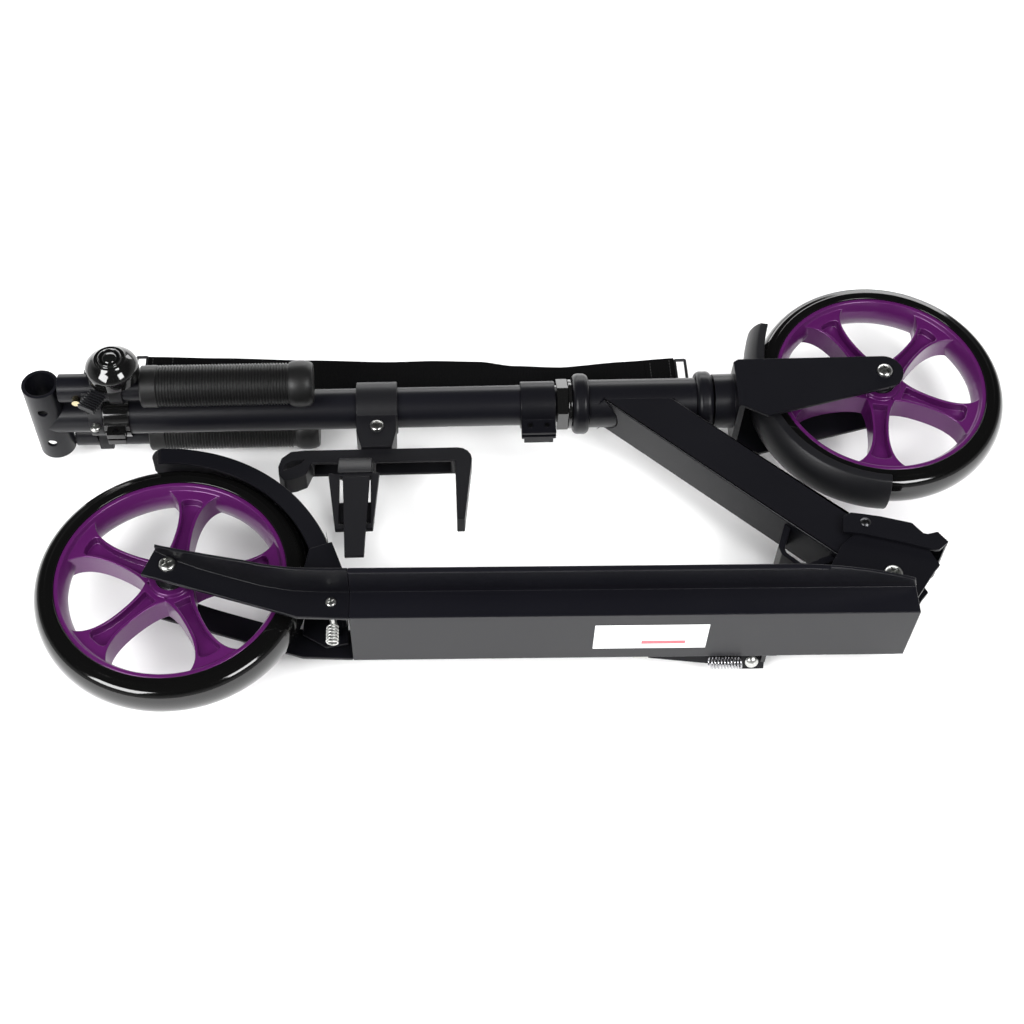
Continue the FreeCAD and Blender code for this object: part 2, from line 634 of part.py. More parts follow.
def bar_button(centre, way):
    side = V(0, way, 0)
    stem = rod(V(BUTTON_ALONG, centre.y + way * 7.5, centre.z), side, BUTTON_RADIUS, 8)
    flange = rod(V(BUTTON_ALONG, centre.y + way * 6.5, centre.z), side, 4.0, 1.5)
    return on_stem(stem.fuse(flange))


# --- Bell --------------------------------------------------------------------
BELL_FLOOR = RIGHT_BAR.z + BAR_RADIUS


def bell_base():
    """Strap round the bar, with the bell's post."""
    strap = tube_x(BELL_ALONG - 5, BELL_ALONG + 5, BAR_RADIUS + 2.0, BAR_RADIUS,
                   RIGHT_BAR.y, RIGHT_BAR.z)
    post = rod_z(BELL_ALONG, RIGHT_BAR.y, BELL_FLOOR + 1, BELL_FLOOR + 20, 3)
    foot = rod_z(BELL_ALONG, RIGHT_BAR.y, BELL_FLOOR + 0.5, BELL_FLOOR + 3, 6)
    return on_stem(strap.fuse([post, foot]))


def bell_dome():
    """Thin steel dome on a boss that the post carries."""
    floor = BELL_FLOOR + 8.0
    centre = V(BELL_ALONG, RIGHT_BAR.y, floor - 5.5)
    keep = rod_z(BELL_ALONG, RIGHT_BAR.y, floor - 2, floor + 40, 20)
    hollow = rod_z(BELL_ALONG, RIGHT_BAR.y, floor - 3, floor + 40, 18.6)
    dome = Part.makeSphere(23.5, centre).common(keep)
    dome = dome.cut(Part.makeSphere(22.1, centre).common(hollow))
    boss = rod_z(BELL_ALONG, RIGHT_BAR.y, floor + 9, floor + 17, 6)
    return on_stem(dome.fuse(boss).cut(rod_z(BELL_ALONG, RIGHT_BAR.y, 0, BELL_FLOOR + 20, 3)))


def bell_lever():
    """Thumb lever on the post, with a ribbed pad."""
    low = BELL_FLOOR + 3.2
    hub = ring_z(low, low + 2.4, 7, 3 + RUNNING_GAP, BELL_ALONG, RIGHT_BAR.y)
    arm = block(-26, -5, -4, 4, low, low + 2.4)
    pad = block(-38, -22, -7, 7, low - 1.5, low + 3.5)
    arm = turned(arm.fuse(pad), V(0, 0, 0), Z_AXIS, BELL_LEVER_TURN)
    return on_stem(hub.fuse(moved(arm, V(BELL_ALONG, RIGHT_BAR.y, 0))))


# --- Bottle holder -----------------------------------------------------------
CAGE_TOP = -47.0
CAGE_DEPTH = 12.5
CAGE_HALF = 9.2
CLAW_Y, CLAW_Z = -91.0, 5.0
CLAW_INNER, CLAW_OUTER = 27.0, 31.0


def bottle_clamp():
    """Two-lobed clamp band with a tapering foot for the cage."""
    band = tube_x(130, 162, 20.5, LOWER_STEM_RADIUS)
    foot = prism([(130, -14), (161, -14), (161, -31.5), (157.7, CAGE_TOP), (133.9, CAGE_TOP),
                  (130, -30.7)], -12, 12)
    body = band.fuse(foot)
    body = body.cut(rod(V(120, 0, 0), X_AXIS, LOWER_STEM_RADIUS, 60))
    slot = block(138, 154, -12, 30, -1.2, 1.2)
    return on_stem(body.cut([slot, rod_z(146, -27, -20, 20, 2.6)]))


def bottle_clamp_screw():
    head = dome_head(146, -27, 12, 5.5, 3, 1)
    nut = rod_z(146, -27, -15, -12, 5)
    return on_stem(rod_z(146, -27, -12, 12, 2.5).fuse([head, nut]))


def claw_arc(x0, x1):
    """Quarter ring that curls from the spine round the bottle's near side."""
    arc = arc_band(V(0, 0, 0), CLAW_INNER, CLAW_OUTER, 0, 90, x0 - x1, 0)
    return moved(turned(arc, V(0, 0, 0), Y_AXIS, -90), V(x0, CLAW_Y, CLAW_Z))


def bottle_cage():
    """Ribbed spine with a bottom hook, a top loop and two side claws."""
    low = CAGE_TOP - CAGE_DEPTH
    outline = [(91, CAGE_TOP), (208, CAGE_TOP), (212.2, -47.8), (215.8, -50.2), (218.2, -53.8),
               (219, -58), (212, -114), (206, -114), (206, low), (96, low), (92, -70),
               (84, -73.5), (76, -75), (71.5, -70), (70.7, -62), (73, -54), (80, -48)]
    gap = [(74.8, -65.5), (76.5, -60), (81, -57), (91, -55.5), (88, -59), (81, -63)]
    spine = prism(outline, -CAGE_HALF, CAGE_HALF).cut(prism(gap, -20, 20))
    for start, end in ((98, 118), (121, 142), (145, 203)):
        spine = spine.cut(block(start, end, low - 1, CAGE_TOP - 3.5, -6.6, 6.6))
    near, far = claw_arc(118, 143), mirror_z(claw_arc(120, 136))
    roots = [block(118, 143, -64, low + 2, -CAGE_HALF, CAGE_HALF)]
    frame = prism([(111, -89), (149, -89), (144.3, -139), (116.6, -139)], 31, 36)
    frame = frame.cut(block(119.5, 142.5, -135, -92, 30, 37))
    prong = block(121, 135, -108, -90, -36, -32)
    return on_stem(spine.fuse(roots + [near, far, frame, prong]))


def bottle_tongue():
    """Adjustable tongue on the near claw, guided by a lug and a flange behind it."""
    blade = prism([(122, -95), (142, -95), (138, -165), (124, -165)], 36.4, 39.6)
    lug = block(124, 138, -130, -112, 30.6, 36.4)
    flange = block(117, 145, -130, -112, 27.6, 30.6)
    return on_stem(blade.fuse([lug, flange]))


# --- Carry strap -------------------------------------------------------------
STRAP_CREST = [(-40, 63.5), (20, 60.5), (91, 56.4), (156, 53), (190, 53.4), (229, 51.6),
               (255, 46.5), (294, 43.9), (345, 48.5), (388, 51.5)]


def carry_strap():
    """Webbing pulled along the stem between its two wire loops."""
    return on_stem(prism([(-40, 27.5)] + STRAP_CREST + [(388, 26)], -9, -7.2))


def strap_loops():
    """Bent wire loop at each end of the webbing."""
    loops = []
    for start, end, low, high in ((-50, -39, 29, 65), (387, 398, 28, 51)):
        frame = block(start, end, low, high, -9.4, -6.8)
        hole = block(start + 2.6, end - 2.6, low + 2.6, high - 2.6, -20, 0)
        loops.append(frame.cut(hole))
    return on_stem(Part.makeCompound(loops))


def springs():
    """Brake, kickstand and fold lever springs, each at its own seat."""
    brake = coil(4.0, 0.7, 2.6, 14)
    brake.rotate(V(0, 0, 0), X_AXIS, 90)
    brake.translate(V(118, -39, 6))
    stand = coil(4.2, 0.7, 2.4, 24)
    stand.rotate(V(0, 0, 0), Y_AXIS, 90)
    stand.translate(V(394, -48.2, -36))
    lever = coil(3.0, 0.8, 2.5, 8)
    lever.rotate(V(0, 0, 0), X_AXIS, 90)
    lever.translate(V(532, 33.2, 0))
    return {"brake_spring": brake, "kickstand_spring": stand, "fold_lever_spring": lever}


def all_nodes():
    """Every node's shape by its name."""
    nodes = {
        "deck_extrusion": deck_extrusion(),
        "grip_tape": grip_tape(),
        "rear_arms": pair(rear_arm()),
        "fold_bracket": fold_bracket(),
        "hinge_bolt": cross_bolt(HINGE.x, HINGE.y, PLATE_OUTER, AXLE_RADIUS, 7, 4),
        "rear_axle_bolt": cross_bolt(0, 0, BOX_HALF, AXLE_RADIUS, 6.2, 3.6),
        "rear_axle_spacers": axle_spacers(BOX_HALF - ARM_THICK),
        "brake_pivot_bolt": cross_bolt(BRAKE_PIVOT.x, BRAKE_PIVOT.y, BOX_HALF, 2.5, 4, 2),
        "kickstand_bracket": kickstand_bracket(),
        "kickstand_bolt": kickstand_bolt(),
        "underside_label": block(306, 392, DECK_BOTTOM - 0.3, DECK_BOTTOM, -20, 19),
        "rear_rim": rim(82.0),
        "rear_tyre": tyre(),
        "rear_bearings": wheel_bearings(),
        "rear_fender": rear_fender(),
        "kickstand_leg": kickstand_leg(),
        "kickstand_foot": kickstand_foot(),
        "neck_tube": neck_tube(),
        "neck_loop": neck_loop(),
        "head_tube": head_tube(),
        "headset_cups": headset_cups(),
        "headset_bearings": headset_bearings(),
        "fold_lever": fold_lever(),
        "fold_lever_rivet": fold_lever_rivet(),
        "lock_pin": lock_pin(),
        "fork": fork(),
        "headset_nuts": headset_nuts(),
        "front_axle_bolt": on_front_axle(cross_bolt(0, 0, 28, AXLE_RADIUS, 6.2, 3.6)),
        "front_axle_spacers": on_front_axle(axle_spacers(25)),
        "front_mudguard": front_mudguard(),
        "front_rim": on_front_axle(rim(46.0)),
        "front_tyre": on_front_axle(tyre()),
        "front_bearings": on_front_axle(wheel_bearings()),
        "lower_stem": on_stem(tube_x(-64, 286, LOWER_STEM_RADIUS, UPPER_STEM_RADIUS + 0.3)),
        "stem_bracket": stem_bracket(),
        "stem_bracket_rivets": stem_bracket_rivets(),
        "height_collar": height_collar(),
        "collar_screw": collar_screw(),
        "handlebar_tee": handlebar_tee(),
        "upper_stem": upper_stem(),
        "grip_clips": grip_clips(),
        "clip_screw": on_stem(clip_screw_shape()),
        "bell_base": bell_base(),
        "bell_dome": bell_dome(),
        "bell_lever": bell_lever(),
        "bottle_clamp": bottle_clamp(),
        "bottle_clamp_screw": bottle_clamp_screw(),
        "bottle_cage": bottle_cage(),
        "bottle_tongue": bottle_tongue(),
        "carry_strap": carry_strap(),
        "strap_loops": strap_loops(),
    }
    for name, centre, rubber, way in (("right", RIGHT_BAR, -33.0, -1),
                                      ("left", LEFT_BAR, -37.0, 1)):
        nodes[name + "_bar"] = bar_tube(centre, way)
        nodes[name + "_grip"] = grip(centre, rubber)
        nodes[name + "_button"] = bar_button(centre, way)
    nodes.update(springs())
    return nodes


def main():
    os.makedirs("parts", exist_ok=True)
    whole = FreeCAD.BoundBox()
    for name, shape in all_nodes().items():
        shape.translate(ROW_SHIFT)
        shape.exportStep("parts/" + name + ".step")
        box = shape.optimalBoundingBox()
        whole.add(box)
        print(f"{name:22s} solids {len(shape.Solids)} valid {shape.isValid()} "
              f"volume {shape.Volume / 1000:8.2f} cm3")
    print("box", [round(v, 2) for v in (whole.XMin, whole.XMax, whole.YMin, whole.YMax,
                                        whole.ZMin, whole.ZMax)])


main()
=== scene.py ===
"""Folded kick scooter: its finishes and fine pieces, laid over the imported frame.

Shapes are drawn in millimetres in the scooter's own frame: X runs along the deck
to its front, Y is the deck's up, Z is the axles' direction, and the rear axle's
centre is the origin. A Place then lays them into the row frame, in metres.
"""

import enum
import logging
import math
from dataclasses import dataclass, field
from typing import Iterable, Optional, Sequence

import bmesh
import bpy
from mathutils import Matrix, Vector


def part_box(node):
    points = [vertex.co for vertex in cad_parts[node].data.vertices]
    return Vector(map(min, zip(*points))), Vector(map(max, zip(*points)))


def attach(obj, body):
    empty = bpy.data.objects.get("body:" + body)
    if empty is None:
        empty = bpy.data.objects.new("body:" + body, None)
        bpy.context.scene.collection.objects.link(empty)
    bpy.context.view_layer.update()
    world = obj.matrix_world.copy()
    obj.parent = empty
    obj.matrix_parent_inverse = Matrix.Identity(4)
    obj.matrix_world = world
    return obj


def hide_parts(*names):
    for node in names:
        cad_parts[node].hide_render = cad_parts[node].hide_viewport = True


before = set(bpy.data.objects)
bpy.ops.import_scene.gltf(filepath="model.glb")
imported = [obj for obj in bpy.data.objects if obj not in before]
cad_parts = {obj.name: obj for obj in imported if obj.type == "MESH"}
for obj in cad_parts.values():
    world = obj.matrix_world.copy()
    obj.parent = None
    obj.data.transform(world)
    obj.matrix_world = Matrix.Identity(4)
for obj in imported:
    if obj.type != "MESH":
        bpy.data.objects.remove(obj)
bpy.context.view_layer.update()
LOG = logging.getLogger("scooter")
MM = 0.001
Colour = tuple[float, float, float]
Point = tuple[float, float, float]


# --- Places --------------------------------------------------------------------
@dataclass(frozen=True)
class Lie:
    """How the folded scooter's sub-assemblies lie, in millimetres and degrees."""

    stem_tilt: float = 1.06
    stem_height: float = 162.4
    fork_turn: float = 3.15
    front_axle: Point = (547.0, 5.9, 0.0)
    neck_angle: float = 138.1
    hinge: Point = (526.0, -8.0, 0.0)
    stand_splay: float = 60.0
    stand_pivot: Point = (427.0, -41.5, -44.5)


LIE = Lie()


class Place(enum.Enum):
    """A sub-assembly's own drawing frame."""

    DECK = "deck"
    STEM = "stem"
    FORK = "fork"
    FRONT_AXLE = "front_axle"
    NECK = "neck"
    STAND = "stand"

    def matrix(self) -> Matrix:
        """Give the matrix from this frame's millimetres to the row frame's metres."""
        low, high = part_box("rear_rim")
        base = Matrix.Translation((low + high) / 2) @ Matrix.Scale(MM, 4)
        stem = Matrix.Translation((0, LIE.stem_height, 0)) @ Matrix.Rotation(
            math.radians(LIE.stem_tilt), 4, "Z")
        fork = stem @ Matrix.Rotation(math.radians(LIE.fork_turn), 4, "X")
        places = {
            Place.DECK: Matrix.Identity(4),
            Place.STEM: stem,
            Place.FORK: fork,
            Place.FRONT_AXLE: fork @ Matrix.Translation(LIE.front_axle),
            Place.NECK: Matrix.Translation(LIE.hinge) @ Matrix.Rotation(
                math.radians(LIE.neck_angle), 4, "Z"),
            Place.STAND: Matrix.Translation(LIE.stand_pivot) @ Matrix.Rotation(
                math.radians(LIE.stand_splay), 4, "X"),
        }
        return base @ places[self]


# --- Shader effects ------------------------------------------------------------
class Effects:
    """Shader node groups that several finishes share."""

    _made: dict[str, bpy.types.NodeTree] = {}

    @classmethod
    def _group(cls, name: str, inputs: dict[str, float], outputs: Iterable[str]) -> tuple:
        """Start a group with float inputs and outputs.

        Args:
            name: The group's name.
            inputs: Each input's name and default value.
            outputs: Each output's name.

        Returns:
            The tree, its input node and its output node.
        """
        tree = bpy.data.node_groups.new(name, "ShaderNodeTree")
        tree.interface.new_socket("Vector", in_out="INPUT", socket_type="NodeSocketVector")
        for key, value in inputs.items():
            socket = tree.interface.new_socket(key, in_out="INPUT", socket_type="NodeSocketFloat")
            socket.default_value = value
        for key in outputs:
            tree.interface.new_socket(key, in_out="OUTPUT", socket_type="NodeSocketFloat")
        return tree, tree.nodes.new("NodeGroupInput"), tree.nodes.new("NodeGroupOutput")

    @classmethod
    def mottle(cls) -> bpy.types.NodeTree:
        """Two noises: a broad mask for colour and gloss, and a fine height for the skin."""
        if "mottle" not in cls._made:
            tree, start, end = cls._group(
                "mottle", {"Broad Scale": 12.0, "Fine Scale": 900.0, "Contrast": 0.35},
                ("Mask", "Height"))
            broad = tree.nodes.new("ShaderNodeTexNoise")
            broad.inputs["Detail"].default_value = 5.0
            fine = tree.nodes.new("ShaderNodeTexNoise")
            fine.inputs["Detail"].default_value = 2.0
            spread = tree.nodes.new("ShaderNodeMath")
            spread.operation = "MULTIPLY_ADD"
            centre = tree.nodes.new("ShaderNodeMath")
            centre.operation = "SUBTRACT"
            centre.inputs[1].default_value = 0.5
            tree.links.new(start.outputs["Vector"], broad.inputs["Vector"])
            tree.links.new(start.outputs["Vector"], fine.inputs["Vector"])
            tree.links.new(start.outputs["Broad Scale"], broad.inputs["Scale"])
            tree.links.new(start.outputs["Fine Scale"], fine.inputs["Scale"])
            tree.links.new(broad.outputs["Fac"], centre.inputs[0])
            tree.links.new(centre.outputs[0], spread.inputs[0])
            tree.links.new(start.outputs["Contrast"], spread.inputs[1])
            spread.inputs[2].default_value = 0.5
            tree.links.new(spread.outputs[0], end.inputs["Mask"])
            tree.links.new(fine.outputs["Fac"], end.inputs["Height"])
            cls._made["mottle"] = tree
        return cls._made["mottle"]

    @classmethod
    def scuffs(cls) -> bpy.types.NodeTree:
        """Sparse fine handling marks, as a mask."""
        if "scuffs" not in cls._made:
            tree, start, end = cls._group("scuffs", {"Scale": 60.0, "Amount": 0.5}, ("Mask",))
            stretch = tree.nodes.new("ShaderNodeVectorMath")
            stretch.operation = "MULTIPLY"
            stretch.inputs[1].default_value = (1.0, 6.0, 2.0)
            noise = tree.nodes.new("ShaderNodeTexNoise")
            noise.inputs["Detail"].default_value = 8.0
            noise.inputs["Roughness"].default_value = 0.75
            ramp = tree.nodes.new("ShaderNodeMapRange")
            ramp.inputs["From Min"].default_value = 0.66
            ramp.inputs["From Max"].default_value = 0.74
            scale = tree.nodes.new("ShaderNodeMath")
            scale.operation = "MULTIPLY"
            tree.links.new(start.outputs["Vector"], stretch.inputs[0])
            tree.links.new(stretch.outputs[0], noise.inputs["Vector"])
            tree.links.new(start.outputs["Scale"], noise.inputs["Scale"])
            tree.links.new(noise.outputs["Fac"], ramp.inputs["Value"])
            tree.links.new(ramp.outputs["Result"], scale.inputs[0])
            tree.links.new(start.outputs["Amount"], scale.inputs[1])
            tree.links.new(scale.outputs[0], end.inputs["Mask"])
            cls._made["scuffs"] = tree
        return cls._made["scuffs"]

    @classmethod
    def weave(cls) -> bpy.types.NodeTree:
        """Crossed threads, as a height."""
        if "weave" not in cls._made:
            tree, start, end = cls._group("weave", {"Scale": 900.0}, ("Height",))
            heights = []
            for way in ("X", "Y"):
                wave = tree.nodes.new("ShaderNodeTexWave")
                wave.wave_type = "BANDS"
                wave.bands_direction = way
                wave.inputs["Distortion"].default_value = 0.6
                tree.links.new(start.outputs["Vector"], wave.inputs["Vector"])
                tree.links.new(start.outputs["Scale"], wave.inputs["Scale"])
                heights.append(wave.outputs["Fac"])
            both = tree.nodes.new("ShaderNodeMath")
            both.operation = "MAXIMUM"
            tree.links.new(heights[0], both.inputs[0])
            tree.links.new(heights[1], both.inputs[1])
            tree.links.new(both.outputs[0], end.inputs["Height"])
            cls._made["weave"] = tree
        return cls._made["weave"]


# --- Finishes ------------------------------------------------------------------
class Texture(enum.Enum):
    """The skin that a finish's bump shows."""

    SMOOTH = "smooth"
    GRIT = "grit"
    WEAVE = "weave"
    FLAKE = "flake"


@dataclass(frozen=True)
class Finish:
    """One finish: its colours, its gloss and its skin."""

    name: str
    dark: Colour
    light: Colour
    rough: tuple[float, float] = (0.35, 0.45)
    metallic: float = 0.0
    specular: float = 0.5
    coat: float = 0.0
    coat_rough: float = 0.05
    sheen: float = 0.0
    texture: Texture = Texture.SMOOTH
    broad: float = 14.0
    fine: float = 900.0
    bump: float = 0.02
    contrast: float = 0.6
    scuffed: float = 0.0

    def material(self) -> bpy.types.Material:
        """Build the finish's material, or give it if it is already there."""
        found = bpy.data.materials.get(self.name)
        if found is not None and found.get("finish"):
            return found
        made = bpy.data.materials.new(self.name)
        made["finish"] = True
        made.use_nodes = True
        tree = made.node_tree
        shader = tree.nodes["Principled BSDF"]
        shader.inputs["Metallic"].default_value = self.metallic
        shader.inputs["Specular IOR Level"].default_value = self.specular
        shader.inputs["Coat Weight"].default_value = self.coat
        shader.inputs["Coat Roughness"].default_value = self.coat_rough
        shader.inputs["Sheen Weight"].default_value = self.sheen
        place = tree.nodes.new("ShaderNodeTexCoord").outputs["Object"]
        mottle = self._add_group(tree, Effects.mottle(), place)
        mottle.inputs["Broad Scale"].default_value = self.broad
        mottle.inputs["Fine Scale"].default_value = self.fine
        mottle.inputs["Contrast"].default_value = self.contrast
        colour = self._mix(tree, mottle.outputs["Mask"], self.dark, self.light)
        rough = self._range(tree, mottle.outputs["Mask"], self.rough)
        if self.scuffed > 0:
            colour, rough = self._scuff(tree, place, colour, rough)
        tree.links.new(colour, shader.inputs["Base Color"])
        tree.links.new(rough, shader.inputs["Roughness"])
        self._add_bump(tree, place, mottle, shader)
        return made

    @staticmethod
    def _add_group(tree: bpy.types.NodeTree, group: bpy.types.NodeTree,
                   place: bpy.types.NodeSocket) -> bpy.types.Node:
        """Place a shared effect in the material and feed it the coordinates."""
        node = tree.nodes.new("ShaderNodeGroup")
        node.node_tree = group
        tree.links.new(place, node.inputs["Vector"])
        return node

    @staticmethod
    def _mix(tree: bpy.types.NodeTree, mask: bpy.types.NodeSocket, dark: Colour,
             light: Colour) -> bpy.types.NodeSocket:
        """Mix two colours by a mask."""
        mix = tree.nodes.new("ShaderNodeMix")
        mix.data_type = "RGBA"
        tree.links.new(mask, mix.inputs["Factor"])
        mix.inputs["A"].default_value = (*dark, 1.0)
        mix.inputs["B"].default_value = (*light, 1.0)
        return mix.outputs["Result"]

    @staticmethod
    def _range(tree: bpy.types.NodeTree, mask: bpy.types.NodeSocket,
               ends: tuple[float, float]) -> bpy.types.NodeSocket:
        """Spread a mask over a range of values."""
        spread = tree.nodes.new("ShaderNodeMapRange")
        spread.inputs["To Min"].default_value = ends[0]
        spread.inputs["To Max"].default_value = ends[1]
        tree.links.new(mask, spread.inputs["Value"])
        return spread.outputs["Result"]

    def _scuff(self, tree: bpy.types.NodeTree, place: bpy.types.NodeSocket,
               colour: bpy.types.NodeSocket, rough: bpy.types.NodeSocket) -> tuple:
        """Lay handling marks over the colour and the gloss."""
        marks = self._add_group(tree, Effects.scuffs(), place)
        marks.inputs["Amount"].default_value = self.scuffed
        worn = tree.nodes.new("ShaderNodeMix")
        worn.data_type = "RGBA"
        tree.links.new(marks.outputs["Mask"], worn.inputs["Factor"])
        tree.links.new(colour, worn.inputs["A"])
        worn.inputs["B"].default_value = (*[min(1.0, c * 2.5 + 0.01) for c in self.light], 1.0)
        dull = tree.nodes.new("ShaderNodeMath")
        dull.operation = "MULTIPLY_ADD"
        tree.links.new(marks.outputs["Mask"], dull.inputs[0])
        dull.inputs[1].default_value = 0.3
        tree.links.new(rough, dull.inputs[2])
        return worn.outputs["Result"], dull.outputs[0]

    def _add_bump(self, tree: bpy.types.NodeTree, place: bpy.types.NodeSocket,
                  mottle: bpy.types.Node, shader: bpy.types.Node) -> None:
        """Feed the shader's normal from the finish's skin."""
        height = mottle.outputs["Height"]
        if self.texture is Texture.WEAVE:
            weave = self._add_group(tree, Effects.weave(), place)
            weave.inputs["Scale"].default_value = self.fine
            height = weave.outputs["Height"]
        elif self.texture in (Texture.GRIT, Texture.FLAKE):
            grains = tree.nodes.new("ShaderNodeTexVoronoi")
            grains.inputs["Scale"].default_value = self.fine
            tree.links.new(place, grains.inputs["Vector"])
            height = grains.outputs["Distance"]
        bump = tree.nodes.new("ShaderNodeBump")
        bump.inputs["Strength"].default_value = self.bump
        bump.inputs["Distance"].default_value = 0.0005
        tree.links.new(height, bump.inputs["Height"])
        tree.links.new(bump.outputs["Normal"], shader.inputs["Normal"])


SATIN_BLACK = Finish("satin_black_paint", (0.0025, 0.0025, 0.0035), (0.0045, 0.0045, 0.006),
                     rough=(0.28, 0.36), specular=0.22, fine=1400, bump=0.05, scuffed=0.06)
BLACK_ALLOY = Finish("black_alloy", (0.003, 0.003, 0.0045), (0.005, 0.005, 0.007),
                     rough=(0.27, 0.36), specular=0.24, fine=1600, bump=0.05, scuffed=0.05)
GRIP_TAPE = Finish("grip_tape", (0.012, 0.012, 0.012), (0.035, 0.035, 0.035),
                   rough=(0.75, 0.95), texture=Texture.GRIT, fine=1500, bump=1.0)
ZINC = Finish("zinc", (0.42, 0.42, 0.39), (0.66, 0.67, 0.66), rough=(0.22, 0.36), metallic=1.0,
              broad=90, fine=1500, bump=0.05)
BEARING_STEEL = Finish("bearing_steel", (0.33, 0.33, 0.34), (0.50, 0.50, 0.52),
                       rough=(0.18, 0.28), metallic=1.0, broad=60)
DARK_STEEL = Finish("dark_steel", (0.05, 0.05, 0.055), (0.12, 0.12, 0.125), rough=(0.25, 0.4),
                    metallic=1.0, broad=60)
PURPLE = Finish("purple_paint", (0.070, 0.006, 0.078), (0.100, 0.011, 0.110),
                rough=(0.26, 0.36), metallic=0.45, coat=0.5, coat_rough=0.08,
                texture=Texture.FLAKE, fine=2600, bump=0.06, broad=20)
TYRE_BLACK = Finish("tyre_black", (0.0015, 0.0015, 0.0015), (0.003, 0.003, 0.003),
                    rough=(0.07, 0.12), specular=0.5, coat=0.2, fine=500, bump=0.015)
BLACK_PLASTIC = Finish("black_plastic", (0.0035, 0.0035, 0.0042), (0.0065, 0.0065, 0.0078),
                       rough=(0.34, 0.48), specular=0.25, fine=1800, bump=0.12)
GLOSS_BLACK = Finish("gloss_black", (0.003, 0.003, 0.003), (0.005, 0.005, 0.005),
                     rough=(0.06, 0.11), coat=0.5, bump=0.01)
GRIP_RUBBER = Finish("grip_rubber", (0.003, 0.003, 0.003), (0.006, 0.006, 0.006),
                     rough=(0.34, 0.46), specular=0.35, fine=2200, bump=0.15)
BRASS = Finish("brass", (0.55, 0.47, 0.28), (0.80, 0.72, 0.48), rough=(0.2, 0.34),
               metallic=1.0, broad=80)
WEBBING = Finish("webbing", (0.0012, 0.0012, 0.0013), (0.0023, 0.0023, 0.0025),
                 rough=(0.85, 0.98), specular=0.05, texture=Texture.WEAVE,
                 fine=260, bump=0.6)
THREAD = Finish("stitch_thread", (0.012, 0.012, 0.012), (0.03, 0.03, 0.03), rough=(0.7, 0.9),
                specular=0.2)
FINISHES: tuple[Finish, ...] = (
    SATIN_BLACK, BLACK_ALLOY, GRIP_TAPE, ZINC, BEARING_STEEL, DARK_STEEL, PURPLE, TYRE_BLACK,
    BLACK_PLASTIC, GLOSS_BLACK, GRIP_RUBBER, BRASS, WEBBING)


